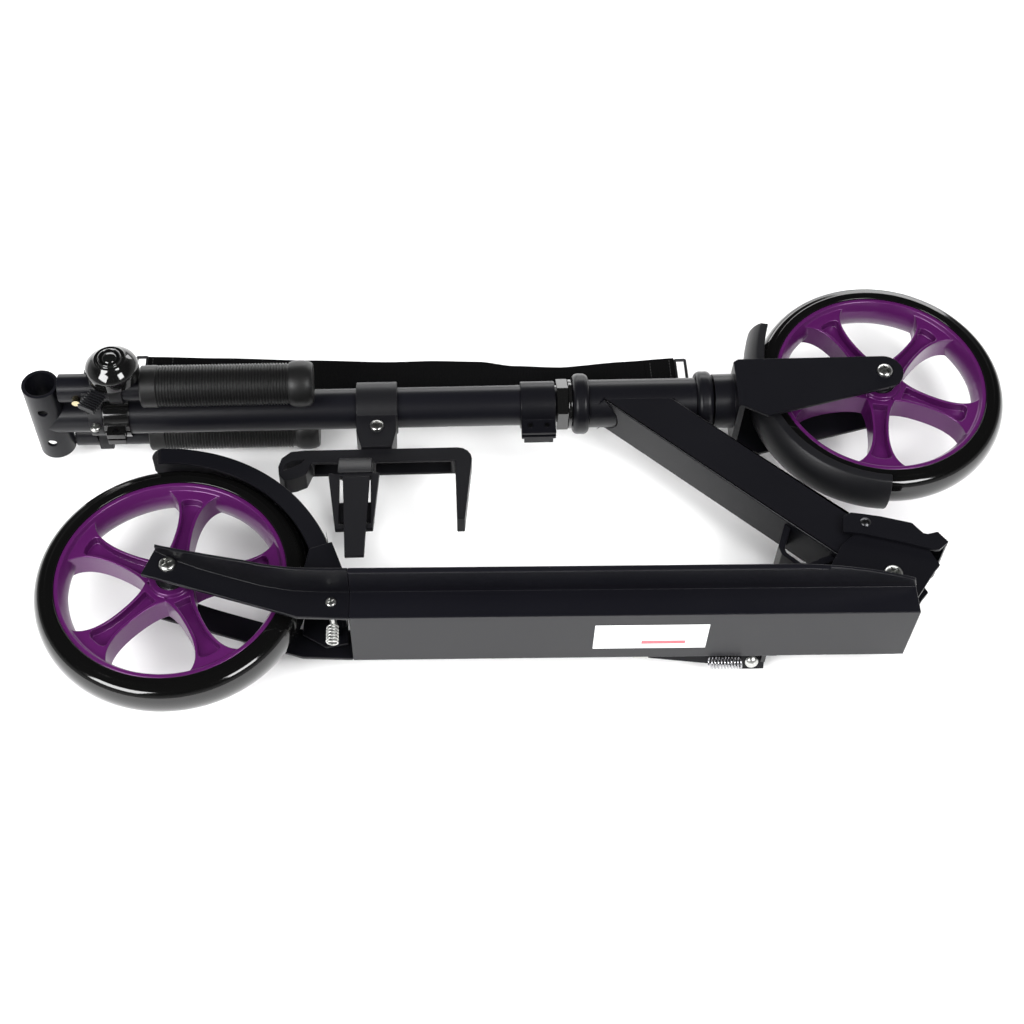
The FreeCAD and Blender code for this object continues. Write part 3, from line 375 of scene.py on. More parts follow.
@dataclass(frozen=True)
class LabelPaper:
    """White paper with one plain red band and plain grey rules, and no lettering."""

    name: str = "label_paper"
    paper: Colour = (0.80, 0.80, 0.80)
    band: Colour = (0.55, 0.11, 0.13)
    rule: Colour = (0.50, 0.50, 0.53)
    band_reach: tuple[float, float] = (-0.008, 0.024)
    band_ends: tuple[float, float] = (-0.0092, -0.0048)
    columns: tuple[tuple[float, float], ...] = ((-0.038, -0.010), (-0.004, 0.034))
    rows: tuple[float, float] = (-0.003, 0.013)
    rule_edge: tuple[float, float] = (0.86, 0.96)
    rule_depth: float = 0.5
    rule_scale: float = 70.0
    rough: float = 0.5
    low: Point = (306.0, -46.85, -16.0)
    high: Point = (388.5, -46.45, 16.3)

    def build(self) -> None:
        """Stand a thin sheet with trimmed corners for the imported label."""
        Form().block(self.low, self.high, 0.12, 1).finish(
            "underside_label_sheet", Place.DECK, self, "deck", ("underside_label",))

    def material(self) -> bpy.types.Material:
        """Build the label's material, centred on the label."""
        made = bpy.data.materials.new(self.name)
        made.use_nodes = True
        tree = made.node_tree
        shader = tree.nodes["Principled BSDF"]
        shader.inputs["Roughness"].default_value = self.rough
        low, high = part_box("underside_label")
        middle = (low + high) / 2
        place = tree.nodes.new("ShaderNodeTexCoord")
        shift = tree.nodes.new("ShaderNodeMapping")
        shift.inputs["Location"].default_value = -middle
        tree.links.new(place.outputs["Object"], shift.inputs["Vector"])
        split = tree.nodes.new("ShaderNodeSeparateXYZ")
        tree.links.new(shift.outputs["Vector"], split.inputs["Vector"])
        inside = self._times(tree, self._between(tree, split.outputs["Z"], *self.band_ends),
                             self._between(tree, split.outputs["X"], *self.band_reach))
        banded = Finish._mix(tree, inside, self.paper, self.band)
        rules = tree.nodes.new("ShaderNodeTexWave")
        rules.bands_direction = "Z"
        rules.inputs["Scale"].default_value = self.rule_scale
        tree.links.new(shift.outputs["Vector"], rules.inputs["Vector"])
        thin = tree.nodes.new("ShaderNodeMapRange")
        thin.inputs["From Min"].default_value = self.rule_edge[0]
        thin.inputs["From Max"].default_value = self.rule_edge[1]
        thin.inputs["To Max"].default_value = self.rule_depth
        tree.links.new(rules.outputs["Fac"], thin.inputs["Value"])
        columns = tree.nodes.new("ShaderNodeMath")
        columns.operation = "MAXIMUM"
        for slot, ends in enumerate(self.columns):
            tree.links.new(self._between(tree, split.outputs["X"], *ends), columns.inputs[slot])
        upper = self._between(tree, split.outputs["Z"], *self.rows)
        area = self._times(tree, columns.outputs[0], upper)
        mask = self._times(tree, thin.outputs["Result"], area)
        lined = tree.nodes.new("ShaderNodeMix")
        lined.data_type = "RGBA"
        tree.links.new(mask, lined.inputs["Factor"])
        tree.links.new(banded, lined.inputs["A"])
        lined.inputs["B"].default_value = (*self.rule, 1.0)
        tree.links.new(lined.outputs["Result"], shader.inputs["Base Color"])
        return made

    @staticmethod
    def _times(tree: bpy.types.NodeTree, one: bpy.types.NodeSocket,
               other: bpy.types.NodeSocket) -> bpy.types.NodeSocket:
        """Multiply two masks."""
        node = tree.nodes.new("ShaderNodeMath")
        node.operation = "MULTIPLY"
        tree.links.new(one, node.inputs[0])
        tree.links.new(other, node.inputs[1])
        return node.outputs[0]

    @classmethod
    def _between(cls, tree: bpy.types.NodeTree, value: bpy.types.NodeSocket, low: float,
                 high: float) -> bpy.types.NodeSocket:
        """Give a mask that is one between two values."""
        above = tree.nodes.new("ShaderNodeMath")
        above.operation = "GREATER_THAN"
        above.inputs[1].default_value = low
        below = tree.nodes.new("ShaderNodeMath")
        below.operation = "LESS_THAN"
        below.inputs[1].default_value = high
        tree.links.new(value, above.inputs[0])
        tree.links.new(value, below.inputs[0])
        return cls._times(tree, above.outputs[0], below.outputs[0])


# --- Forms ---------------------------------------------------------------------
class Form:
    """A shape under construction, in millimetres of its own drawing frame."""

    def __init__(self) -> None:
        """Start with an empty mesh."""
        self.bm = bmesh.new()

    def _since(self, before: set) -> list:
        """Give the vertices made since a set of them was taken."""
        return [v for v in self.bm.verts if v not in before]

    def _round(self, verts: Sequence, width: float, segments: int, least: float = 30.0) -> None:
        """Bevel the sharp edges among some vertices."""
        chosen = set(verts)
        edges = [e for e in self.bm.edges if e.verts[0] in chosen and e.verts[1] in chosen
                 and e.is_manifold and math.degrees(e.calc_face_angle(0.0)) > least]
        bmesh.ops.bevel(self.bm, geom=edges, offset=width, offset_type="OFFSET", affect="EDGES",
                        segments=segments, profile=0.5, material=-1, clamp_overlap=True)

    def block(self, low: Point, high: Point, rounded: float = 0.0, segments: int = 2,
              turn: Optional[Matrix] = None) -> "Form":
        """Add a block between two corners, with rounded edges and an optional turn."""
        verts = bmesh.ops.create_cube(self.bm, size=1.0)["verts"]
        size = Vector(high) - Vector(low)
        bmesh.ops.scale(self.bm, vec=size, verts=verts)
        bmesh.ops.translate(self.bm, vec=(Vector(high) + Vector(low)) / 2, verts=verts)
        if turn is not None:
            bmesh.ops.transform(self.bm, matrix=turn, verts=verts)
        if rounded > 0:
            self._round(verts, rounded, segments)
        return self

    def slab(self, outline: Sequence[tuple[float, float]], low: float, high: float,
             rounded: float = 0.0, segments: int = 2) -> "Form":
        """Extrude an outline of (x, y) points along Z.

        Args:
            outline: The corners in order.
            low: Where the slab starts.
            high: Where it ends.
            rounded: The bevel's width, or 0 for none.
            segments: The bevel's segments.

        Returns:
            The form itself.
        """
        before = set(self.bm.verts)
        corners = [self.bm.verts.new((x, y, low)) for x, y in outline]
        face = self.bm.faces.new(corners)
        grown = bmesh.ops.extrude_face_region(self.bm, geom=[face])["geom"]
        top = [g for g in grown if isinstance(g, bmesh.types.BMVert)]
        bmesh.ops.translate(self.bm, vec=(0, 0, high - low), verts=top)
        verts = self._since(before)
        faces = [f for f in self.bm.faces if f.verts[0] in set(verts)]
        bmesh.ops.recalc_face_normals(self.bm, faces=faces)
        if rounded > 0:
            self._round(verts, rounded, segments)
        return self

    def lathe(self, profile: Sequence[tuple[float, float]], centre: Point = (0, 0, 0),
              axis: Point = (0, 0, 1), steps: int = 64, closed: bool = True,
              start: float = 0.0, sweep: float = 360.0) -> "Form":
        """Spin a profile of (radius, height) points about an axis.

        Args:
            profile: The points, in order.
            centre: Where the axis passes, at height zero.
            axis: The axis's direction.
            steps: How many steps the spin takes.
            closed: Whether the last point joins the first.
            start: The angle the spin starts from, in degrees.
            sweep: The angle it covers, in degrees.

        Returns:
            The form itself.
        """
        before = set(self.bm.verts)
        verts = [self.bm.verts.new((r, 0.0, h)) for r, h in profile]
        edges = [self.bm.edges.new(p) for p in zip(verts, verts[1:])]
        if closed:
            edges.append(self.bm.edges.new((verts[-1], verts[0])))
        full = abs(sweep) >= 360.0
        bmesh.ops.rotate(self.bm, cent=(0, 0, 0), verts=verts,
                         matrix=Matrix.Rotation(math.radians(start), 3, "Z"))
        bmesh.ops.spin(self.bm, geom=verts + edges, cent=(0, 0, 0), axis=(0, 0, 1),
                       angle=math.radians(sweep), steps=steps, use_merge=full,
                       use_duplicate=False)
        made = self._since(before)
        bmesh.ops.remove_doubles(self.bm, verts=made, dist=0.001)
        made = self._since(before)
        if closed and not full:
            rims = [e for e in self.bm.edges if e.is_boundary and e.verts[0] in set(made)]
            bmesh.ops.contextual_create(self.bm, geom=rims[:len(profile)])
            rims = [e for e in self.bm.edges if e.is_boundary and e.verts[0] in set(made)]
            bmesh.ops.contextual_create(self.bm, geom=rims)
        turn = Vector((0, 0, 1)).rotation_difference(Vector(axis)).to_matrix().to_4x4()
        bmesh.ops.transform(self.bm, matrix=Matrix.Translation(centre) @ turn, verts=made)
        faces = [f for f in self.bm.faces if f.verts[0] in set(made)]
        bmesh.ops.recalc_face_normals(self.bm, faces=faces)
        return self

    def rod(self, start: Point, axis: Point, radius: float, length: float,
            rounded: float = 0.0, steps: int = 40) -> "Form":
        """Add a solid rod from a point along an axis, with rounded ends."""
        cut = min(rounded, radius * 0.9, length * 0.45)
        curve = [(math.sin(a), 1 - math.cos(a)) for a in (0, math.pi / 8, math.pi / 4,
                                                          3 * math.pi / 8, math.pi / 2)]
        low = [(radius - cut + cut * s, cut * c) for s, c in curve]
        high = [(r, length - h) for r, h in reversed(low)]
        return self.lathe([(0, 0)] + low + high + [(0, length)], start, axis, steps,
                          closed=False)

    def carved(self, cutter: "Form") -> "Form":
        """Cut another form out of this one."""
        body, tool = self._loose("carved"), cutter._loose("cutter")
        cut = body.modifiers.new("cut", "BOOLEAN")
        cut.operation = "DIFFERENCE"
        cut.solver = "EXACT"
        cut.object = tool
        bpy.context.view_layer.update()
        ready = body.evaluated_get(bpy.context.evaluated_depsgraph_get())
        mesh = bpy.data.meshes.new_from_object(ready)
        self.bm = bmesh.new()
        self.bm.from_mesh(mesh)
        for piece in (body, tool):
            bpy.data.objects.remove(piece)
        bpy.data.meshes.remove(mesh)
        return self

    def _loose(self, name: str) -> bpy.types.Object:
        """Make a plain object of the form as it stands, for a cut."""
        mesh = bpy.data.meshes.new(name)
        self.bm.to_mesh(mesh)
        self.bm.free()
        thing = bpy.data.objects.new(name, mesh)
        bpy.context.scene.collection.objects.link(thing)
        return thing

    def finish(self, name: str, place: Place, finish: Finish, body: str,
               replaces: Sequence[str] = (), slot: Optional[str] = None,
               smooth: float = 38.0) -> bpy.types.Object:
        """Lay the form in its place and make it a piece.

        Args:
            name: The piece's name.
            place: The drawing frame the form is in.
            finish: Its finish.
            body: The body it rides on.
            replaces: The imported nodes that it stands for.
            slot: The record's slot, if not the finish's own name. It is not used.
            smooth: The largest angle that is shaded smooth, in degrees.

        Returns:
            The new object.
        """
        bmesh.ops.transform(self.bm, matrix=place.matrix(), verts=self.bm.verts)
        mesh = bpy.data.meshes.new(name)
        self.bm.to_mesh(mesh)
        self.bm.free()
        return dress(mesh, name, finish, body, replaces, smooth)


def dress(mesh: bpy.types.Mesh, name: str, finish: Finish, body: str,
          replaces: Sequence[str] = (),
          smooth: float = 38.0) -> bpy.types.Object:
    """Make a piece of a finished mesh: its finish, shading and body.

    Args:
        mesh: The mesh, in the row frame.
        name: The piece's name.
        finish: Its finish.
        body: The body it rides on.
        replaces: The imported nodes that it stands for.
        smooth: The largest angle that is shaded smooth, in degrees.

    Returns:
        The new object.
    """
    piece = bpy.data.objects.new(name, mesh)
    bpy.context.scene.collection.objects.link(piece)
    mesh.materials.clear()
    mesh.materials.append(finish.material())
    mesh.polygons.foreach_set("use_smooth", [True] * len(mesh.polygons))
    mesh.set_sharp_from_angle(angle=math.radians(smooth))
    even = piece.modifiers.new("even_normals", "WEIGHTED_NORMAL")
    even.keep_sharp = True
    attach(piece, body)
    if replaces:
        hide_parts(*replaces)
    LOG.info("%s rides on %s, %d faces", name, body, len(mesh.polygons))
    return piece


def softened(node: str, finish: Finish, body: str, width: float = 0.5,
             segments: int = 2, least: float = 32.0) -> bpy.types.Object:
    """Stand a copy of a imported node, with its sharp edges rounded, for the node.

    Args:
        node: The node's name.
        finish: The copy's finish.
        body: The body it rides on.
        width: The bevel's width in millimetres.
        segments: The bevel's segments.
        least: The smallest angle that counts as a sharp edge, in degrees.

    Returns:
        The new piece.
    """
    bm = bmesh.new()
    bm.from_mesh(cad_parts[node].data)
    bmesh.ops.remove_doubles(bm, verts=bm.verts, dist=0.000002)
    bmesh.ops.dissolve_limit(bm, angle_limit=math.radians(0.4), verts=bm.verts, edges=bm.edges,
                             use_dissolve_boundaries=False)
    edges = [e for e in bm.edges
             if e.is_manifold and math.degrees(e.calc_face_angle(0.0)) > least]
    bmesh.ops.bevel(bm, geom=edges, offset=width * MM, offset_type="OFFSET", affect="EDGES",
                    segments=segments, profile=0.5, material=-1, clamp_overlap=False)
    mesh = bpy.data.meshes.new(node + "_soft")
    bm.to_mesh(mesh)
    bm.free()
    stale = mesh.attributes.get("custom_normal")
    if stale is not None:
        mesh.attributes.remove(stale)
    return dress(mesh, node + "_soft", finish, body, (node,))


def wire(name: str, points: Sequence[Point], radius: float, place: Place, finish: Finish,
         body: str, replaces: Sequence[str] = (),
         cyclic: bool = True) -> bpy.types.Object:
    """Make a round wire through some points.

    Args:
        name: The piece's name.
        points: The wire's control points in millimetres.
        radius: The wire's radius in millimetres.
        place: The drawing frame of the points.
        finish: Its finish.
        body: The body it rides on.
        replaces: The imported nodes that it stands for.
        cyclic: Whether the wire closes on itself.

    Returns:
        The new piece.
    """
    curve = bpy.data.curves.new(name, "CURVE")
    curve.dimensions = "3D"
    curve.bevel_depth = radius
    curve.bevel_resolution = 3
    curve.use_fill_caps = True
    line = curve.splines.new("NURBS")
    line.points.add(len(points) - 1)
    for knot, point in zip(line.points, points):
        knot.co = (*point, 1.0)
    line.order_u = 3
    line.resolution_u = 6
    line.use_cyclic_u = cyclic
    line.use_endpoint_u = not cyclic
    thing = bpy.data.objects.new(name + "_line", curve)
    bpy.context.scene.collection.objects.link(thing)
    bpy.context.view_layer.update()
    ready = thing.evaluated_get(bpy.context.evaluated_depsgraph_get())
    mesh = bpy.data.meshes.new_from_object(ready)
    bpy.data.objects.remove(thing)
    mesh.name = name
    mesh.transform(place.matrix())
    return dress(mesh, name, finish, body, replaces, smooth=60.0)


# --- Fasteners -----------------------------------------------------------------
class Drive(enum.Enum):
    """The recess in a screw's head."""

    CROSS = "cross"
    HEX = "hex"
    NONE = "none"


@dataclass
class DomeScrew:
    """Domed screw head with its recess, and a washer face below it."""

    radius: float = 6.2
    height: float = 3.6
    depth: float = 1.8
    drive: Drive = Drive.CROSS
    steps: int = 40

    def form(self, centre: Point, way: int = 1) -> Form:
        """Draw the head on a point, pointing along +Z or -Z.

        Args:
            centre: The middle of the seat.
            way: 1 for +Z or -1 for -Z.

        Returns:
            The head's form.
        """
        r, h = self.radius, self.height
        profile = [(0.0, 0.0), (r, 0.0), (r, h * 0.16), (r * 0.985, h * 0.26)]
        for step in range(1, 10):
            turn = math.pi / 2 * step / 9
            profile.append((r * 0.985 * math.cos(turn), h * (0.26 + 0.74 * math.sin(turn))))
        profile[-1] = (0.0, h)
        head = Form().lathe(profile, (0, 0, 0), (0, 0, 1), self.steps, closed=False)
        if self.drive is not Drive.NONE:
            head = head.carved(self._recess())
        lay = Matrix.Translation(centre) @ Matrix.Diagonal((1, 1, way, 1))
        bmesh.ops.transform(head.bm, matrix=lay, verts=head.bm.verts)
        if way < 0:
            bmesh.ops.reverse_faces(head.bm, faces=head.bm.faces)
        return head

    def _recess(self) -> Form:
        """Draw the recess's cutter."""
        top, floor = self.height + 1.0, self.height - self.depth
        tool = Form()
        if self.drive is Drive.HEX:
            corners = [(self.radius * 0.5 * math.cos(math.radians(a)),
                        self.radius * 0.5 * math.sin(math.radians(a)))
                       for a in range(0, 360, 60)]
            return tool.slab(corners, floor, top)
        arm, half = self.radius * 0.62, self.radius * 0.15
        plus = [(arm, -half), (arm, half), (half, half), (half, arm), (-half, arm),
                (-half, half), (-arm, half), (-arm, -half), (-half, -half), (-half, -arm),
                (half, -arm), (half, -half)]
        turn = math.radians(28)
        plus = [(x * math.cos(turn) - y * math.sin(turn), x * math.sin(turn) + y * math.cos(turn))
                for x, y in plus]
        return tool.slab(plus, floor, top)


def cross_bolt(name: str, centre: Point, half: float, shank: float, head: DomeScrew,
               place: Place, body: str, node: str) -> None:
    """Stand two screw heads and their shank for a packed cross bolt.

    Args:
        name: The pieces' name.
        centre: The bolt's middle.
        half: Half the distance between the heads' seats.
        shank: The shank's radius.
        head: The heads' sizes.
        place: The drawing frame.
        body: The body it rides on.
        node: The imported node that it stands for.
    """
    x, y, z = centre
    top = head.form((x, y, z + half), 1)
    top.finish(name + "_head", place, ZINC, body, (node,))
    head.form((x, y, z - half), -1).finish(name + "_foot", place, ZINC, body)
    Form().rod((x, y, z - half), (0, 0, 1), shank, 2 * half, steps=24).finish(
        name + "_shank", place, ZINC, body)


# --- Wheels --------------------------------------------------------------------
@dataclass
class Wheel:
    """One wheel: a glossy tyre with a shoulder, and a cast rim."""

    name: str
    body: str
    place: Place
    radius: float = 100.0
    half_width: float = 15.0
    seat: float = 83.65
    shoulder: float = 90.5
    steps: int = 144

    def profile(self) -> list[tuple[float, float]]:
        """Give the tyre's section as (radius, z) points."""
        crown = []
        for step in range(0, 17):
            turn = math.radians(-90 + 180 * step / 16)
            crown.append((self.shoulder + (self.radius - self.shoulder) * math.cos(turn) ** 0.9
                          if abs(math.cos(turn)) > 1e-6 else self.shoulder,
                          (self.half_width - 0.7) * math.sin(turn)))
        side = [(self.seat, self.half_width - 0.9), (self.seat + 0.8, self.half_width - 0.15),
                (self.shoulder - 1.4, self.half_width), (self.shoulder - 0.5,
                                                         self.half_width - 0.25)]
        lower = [(r, -z) for r, z in side]
        return lower + crown + list(reversed(side))

    def build(self) -> None:
        """Make the tyre, the rim and the bearings' seals."""
        Form().lathe(self.profile(), steps=self.steps).finish(
            self.name + "_tyre_gloss", self.place, TYRE_BLACK, self.body, (self.name + "_tyre",),
            smooth=50)
        softened(self.name + "_rim", PURPLE, self.body, 0.7, 3, 34)
        for way in (1, -1):
            low, high = sorted((way * 13.55, way * 13.9))
            seal = [(5.6, low), (10.2, low), (10.2, high), (5.6, high)]
            Form().lathe(seal, steps=48).finish(
                f"{self.name}_seal_{'upper' if way > 0 else 'lower'}", self.place,
                BLACK_PLASTIC, self.body)


# --- Handlebar -----------------------------------------------------------------
@dataclass
class Grip:
    """Ribbed rubber grip with a smooth cuff and a bulged, closed end."""

    side: str
    y: float
    z: float
    start: float
    body: str
    cuff: float = 13.0
    rib_end: float = 80.0
    end: float = 98.0
    root: float = 15.35
    crest: float = 16.3
    bore: float = 11.05
    pitch: float = 2.35

    def profile(self) -> list[tuple[float, float]]:
        """Give the section as (radius, x) points, from the open end to the closed one."""
        a = self.start
        points = [(self.bore, a), (self.crest - 0.8, a), (self.crest, a + 0.9),
                  (self.crest, a + self.cuff - 1.0), (self.root, a + self.cuff)]
        x = a + self.cuff + 0.4
        while x + self.pitch < self.rib_end - 0.5:
            points += [(self.root, x), (self.crest - 0.15, x + 0.45),
                       (self.crest - 0.15, x + self.pitch - 1.15),
                       (self.root, x + self.pitch - 0.7)]
            x += self.pitch
        points += [(self.root, self.rib_end - 0.4), (16.4, self.rib_end), (17.3, 82.0),
                   (17.85, 84.5), (18.0, 87.5), (17.9, 91.0), (17.3, 94.5), (16.1, 97.0),
                   (15.0, self.end), (0.0, self.end), (0.0, 96.3), (self.bore, 96.3)]
        return points

    def build(self) -> None:
        """Make the grip."""
        Form().lathe(self.profile(), (0, self.y, self.z), (1, 0, 0), 56).finish(
            self.side + "_grip_ribbed", Place.STEM, GRIP_RUBBER, self.body,
            (self.side + "_grip",), smooth=40)


@dataclass
class Bell:
    """Bell: a glossy dome with rings round a sunk boss, and a ribbed thumb lever."""

    along: float = -52.0
    y: float = -2.0
    floor: float = 46.0
    radius: float = 20.0
    lever_turn: float = 62.0
    ribs: int = 8

    def build(self) -> None:
        """Make the dome and the lever."""
        base = self.floor + 8.0
        r = self.radius
        outside = [(r - 0.4, -2.0), (r, -1.6), (r, 5.8), (r * 0.98, 7.3), (r * 0.93, 8.8),
                   (r * 0.82, 11.3), (r * 0.70, 13.3), (r * 0.62, 14.4), (r * 0.600, 15.1),
                   (r * 0.575, 15.4), (r * 0.535, 15.4), (r * 0.510, 14.8), (r * 0.49, 14.7),
                   (r * 0.455, 15.4), (r * 0.440, 16.4), (r * 0.400, 16.7), (r * 0.372, 16.2),
                   (r * 0.352, 14.9), (r * 0.330, 14.6), (r * 0.310, 15.0), (r * 0.28, 16.3),
                   (r * 0.22, 17.1), (r * 0.12, 17.7), (0.0, 18.0)]
        inside = [(0.0, 13.4), (r * 0.3, 13.2), (r * 0.6, 12.2), (r * 0.8, 9.4),
                  (r * 0.9, 6.0), (r * 0.935, -2.0)]
        Form().lathe(outside + inside, (self.along, self.y, base), (0, 0, 1), 72,
                     closed=True).finish("bell_dome_ringed", Place.STEM, GLOSS_BLACK,
                                         "right_handle", ("bell_dome",), smooth=60)
        self._lever()

    def _lever(self) -> None:
        """Make the thumb lever with its ribs across the pad."""
        low = self.floor + 3.2
        lever = Form()
        lever.lathe([(3.1, 0), (7, 0), (7, 2.2), (6.6, 2.4), (3.1, 2.4)], (0, 0, low))
        lever.block((-26, -4, low), (-5, 4, low + 2.4), 0.6)
        lever.block((-38, -6.2, low - 0.9), (-20, 6.2, low + 1.4), 0.8)
        step = 18.0 / self.ribs
        for index in range(self.ribs):
            x = -38.0 + step * index
            lever.block((x, -7, low - 1.5), (x + step * 0.62, 7, low + 3.5), 0.55)
        lay = Matrix.Translation((self.along, self.y, 0)) @ Matrix.Rotation(
            math.radians(self.lever_turn), 4, "Z")
        bmesh.ops.transform(lever.bm, matrix=lay, verts=lever.bm.verts)
        lever.finish("bell_lever_ribbed", Place.STEM, BLACK_PLASTIC, "bell_trigger",
                     ("bell_lever",))


@dataclass
class Handlebar:
    """Cross tube, bars, grips, clips and bell."""

    tube_nodes: tuple[str, ...] = ("upper_stem", "handlebar_tee")
    right: Grip = field(default_factory=lambda: Grip("right", -2.0, 35.0, -33.0, "right_handle"))
    left: Grip = field(default_factory=lambda: Grip("left", 9.0, -34.0, -37.0, "left_handle"))
    bell: Bell = field(default_factory=Bell)

    def build(self) -> None:
        """Make every piece of the handlebar."""
        for node in self.tube_nodes:
            softened(node, BLACK_ALLOY, "handlebar", 0.4, 2)
        for grip in (self.right, self.left):
            grip.build()
            softened(grip.side + "_bar", BLACK_ALLOY, grip.body, 0.45, 3)
        softened("grip_clips", BLACK_PLASTIC, "handlebar", 0.5, 2)
        softened("bell_base", BLACK_PLASTIC, "right_handle", 0.4, 2)
        self.bell.build()
        DomeScrew(4.1, 3.2, 1.6, steps=32).form((-72, -18, 5.0)).finish(
            "clip_screw_head", Place.STEM, ZINC, "handlebar", ("clip_screw",))


# --- Deck ----------------------------------------------------------------------
@dataclass
class Deck:
    """Deck, arms, fold bracket, brake and kickstand."""

    def build(self) -> None:
        """Make every piece of the deck."""
        softened("deck_extrusion", BLACK_ALLOY, "deck", 0.8, 3)
        softened("rear_arms", SATIN_BLACK, "deck", 0.7, 3)
        softened("fold_bracket", SATIN_BLACK, "deck", 0.5, 2)
        softened("rear_fender", SATIN_BLACK, "brake", 0.6, 2)
        softened("kickstand_leg", SATIN_BLACK, "kickstand", 0.5, 2)
        softened("kickstand_bracket", SATIN_BLACK, "deck", 0.4, 2)
        softened("kickstand_foot", ZINC, "kickstand", 1.2, 3)
        LabelPaper().build()
        cross_bolt("rear_axle", (0, 0, 0), 30.0, 4.0, DomeScrew(6.2, 3.6, 2.0), Place.DECK,
                   "deck", "rear_axle_bolt")
        cross_bolt("hinge", LIE.hinge, 20.5, 4.0, DomeScrew(7.0, 4.0, 2.2), Place.DECK,
                   "deck", "hinge_bolt")
        cross_bolt("brake_pivot", (118, -33, 0), 30.0, 2.5, DomeScrew(4.0, 2.0, 1.2,
                                                                      steps=32),
                   Place.DECK, "deck", "brake_pivot_bolt")


# --- Neck and fold lever -------------------------------------------------------
@dataclass
class Neck:
    """Folding neck with its head tube and its fold lever."""

    serrations: int = 6

    def build(self) -> None:
        """Make the neck's and the lever's pieces."""
        softened("neck_tube", SATIN_BLACK, "neck", 1.3, 3)
        softened("neck_loop", SATIN_BLACK, "neck", 0.6, 2)
        softened("head_tube", SATIN_BLACK, "neck", 0.3, 2)
        softened("fold_lever", SATIN_BLACK, "fold_latch", 0.5, 2)
        softened("headset_nuts", GLOSS_BLACK, "steering", 0.6, 2)
        ribs = Form()
        start, end = Vector((563.8, 26.9, 0)), Vector((570.7, 17.7, 0))
        slope = math.atan2(end.y - start.y, end.x - start.x)
        for index in range(self.serrations):
            seat = start.lerp(end, (index + 0.5) / self.serrations)
            turn = Matrix.Translation(seat) @ Matrix.Rotation(slope, 4, "Z")
            ribs.block((-0.45, -0.5, -23.4), (0.45, 0.6, 23.4), 0.2, 1, turn)
        ribs.finish("fold_lever_ribs", Place.DECK, SATIN_BLACK, "fold_latch")


# --- Steering ------------------------------------------------------------------
@dataclass
class Steering:
    """Fork, lower stem, its clamps and the front guard."""

    soft: tuple[tuple[str, Finish, float], ...] = (
        ("fork", SATIN_BLACK, 0.6), ("front_mudguard", BLACK_PLASTIC, 0.7),
        ("lower_stem", BLACK_ALLOY, 0.3), ("stem_bracket", SATIN_BLACK, 0.5),
        ("height_collar", GLOSS_BLACK, 0.6))

    def build(self) -> None:
        """Make the steering's pieces."""
        for node, finish, width in self.soft:
            softened(node, finish, "steering", width, 2)
        cross_bolt("front_axle", (0, 0, 0), 28.0, 4.0, DomeScrew(6.2, 3.6, 2.0),
                   Place.FRONT_AXLE, "steering", "front_axle_bolt")


# --- Bottle holder -------------------------------------------------------------
@dataclass
class BottleHolder:
    """Clamp, cage and sliding tongue."""

    def build(self) -> None:
        """Make the bottle holder's pieces."""
        softened("bottle_clamp", BLACK_PLASTIC, "steering", 0.8, 3)
        softened("bottle_cage", BLACK_PLASTIC, "steering", 0.8, 2)
        softened("bottle_tongue", BLACK_PLASTIC, "bottle_adjuster", 0.6, 2)
        DomeScrew(5.5, 3.0, 1.6, Drive.HEX, 36).form((146, -27, 12)).finish(
            "bottle_clamp_head", Place.STEM, ZINC, "steering", ("bottle_clamp_screw",))
        Form().rod((146, -27, -15), (0, 0, 1), 2.5, 27, steps=20).finish(
            "bottle_clamp_shank", Place.STEM, ZINC, "steering")


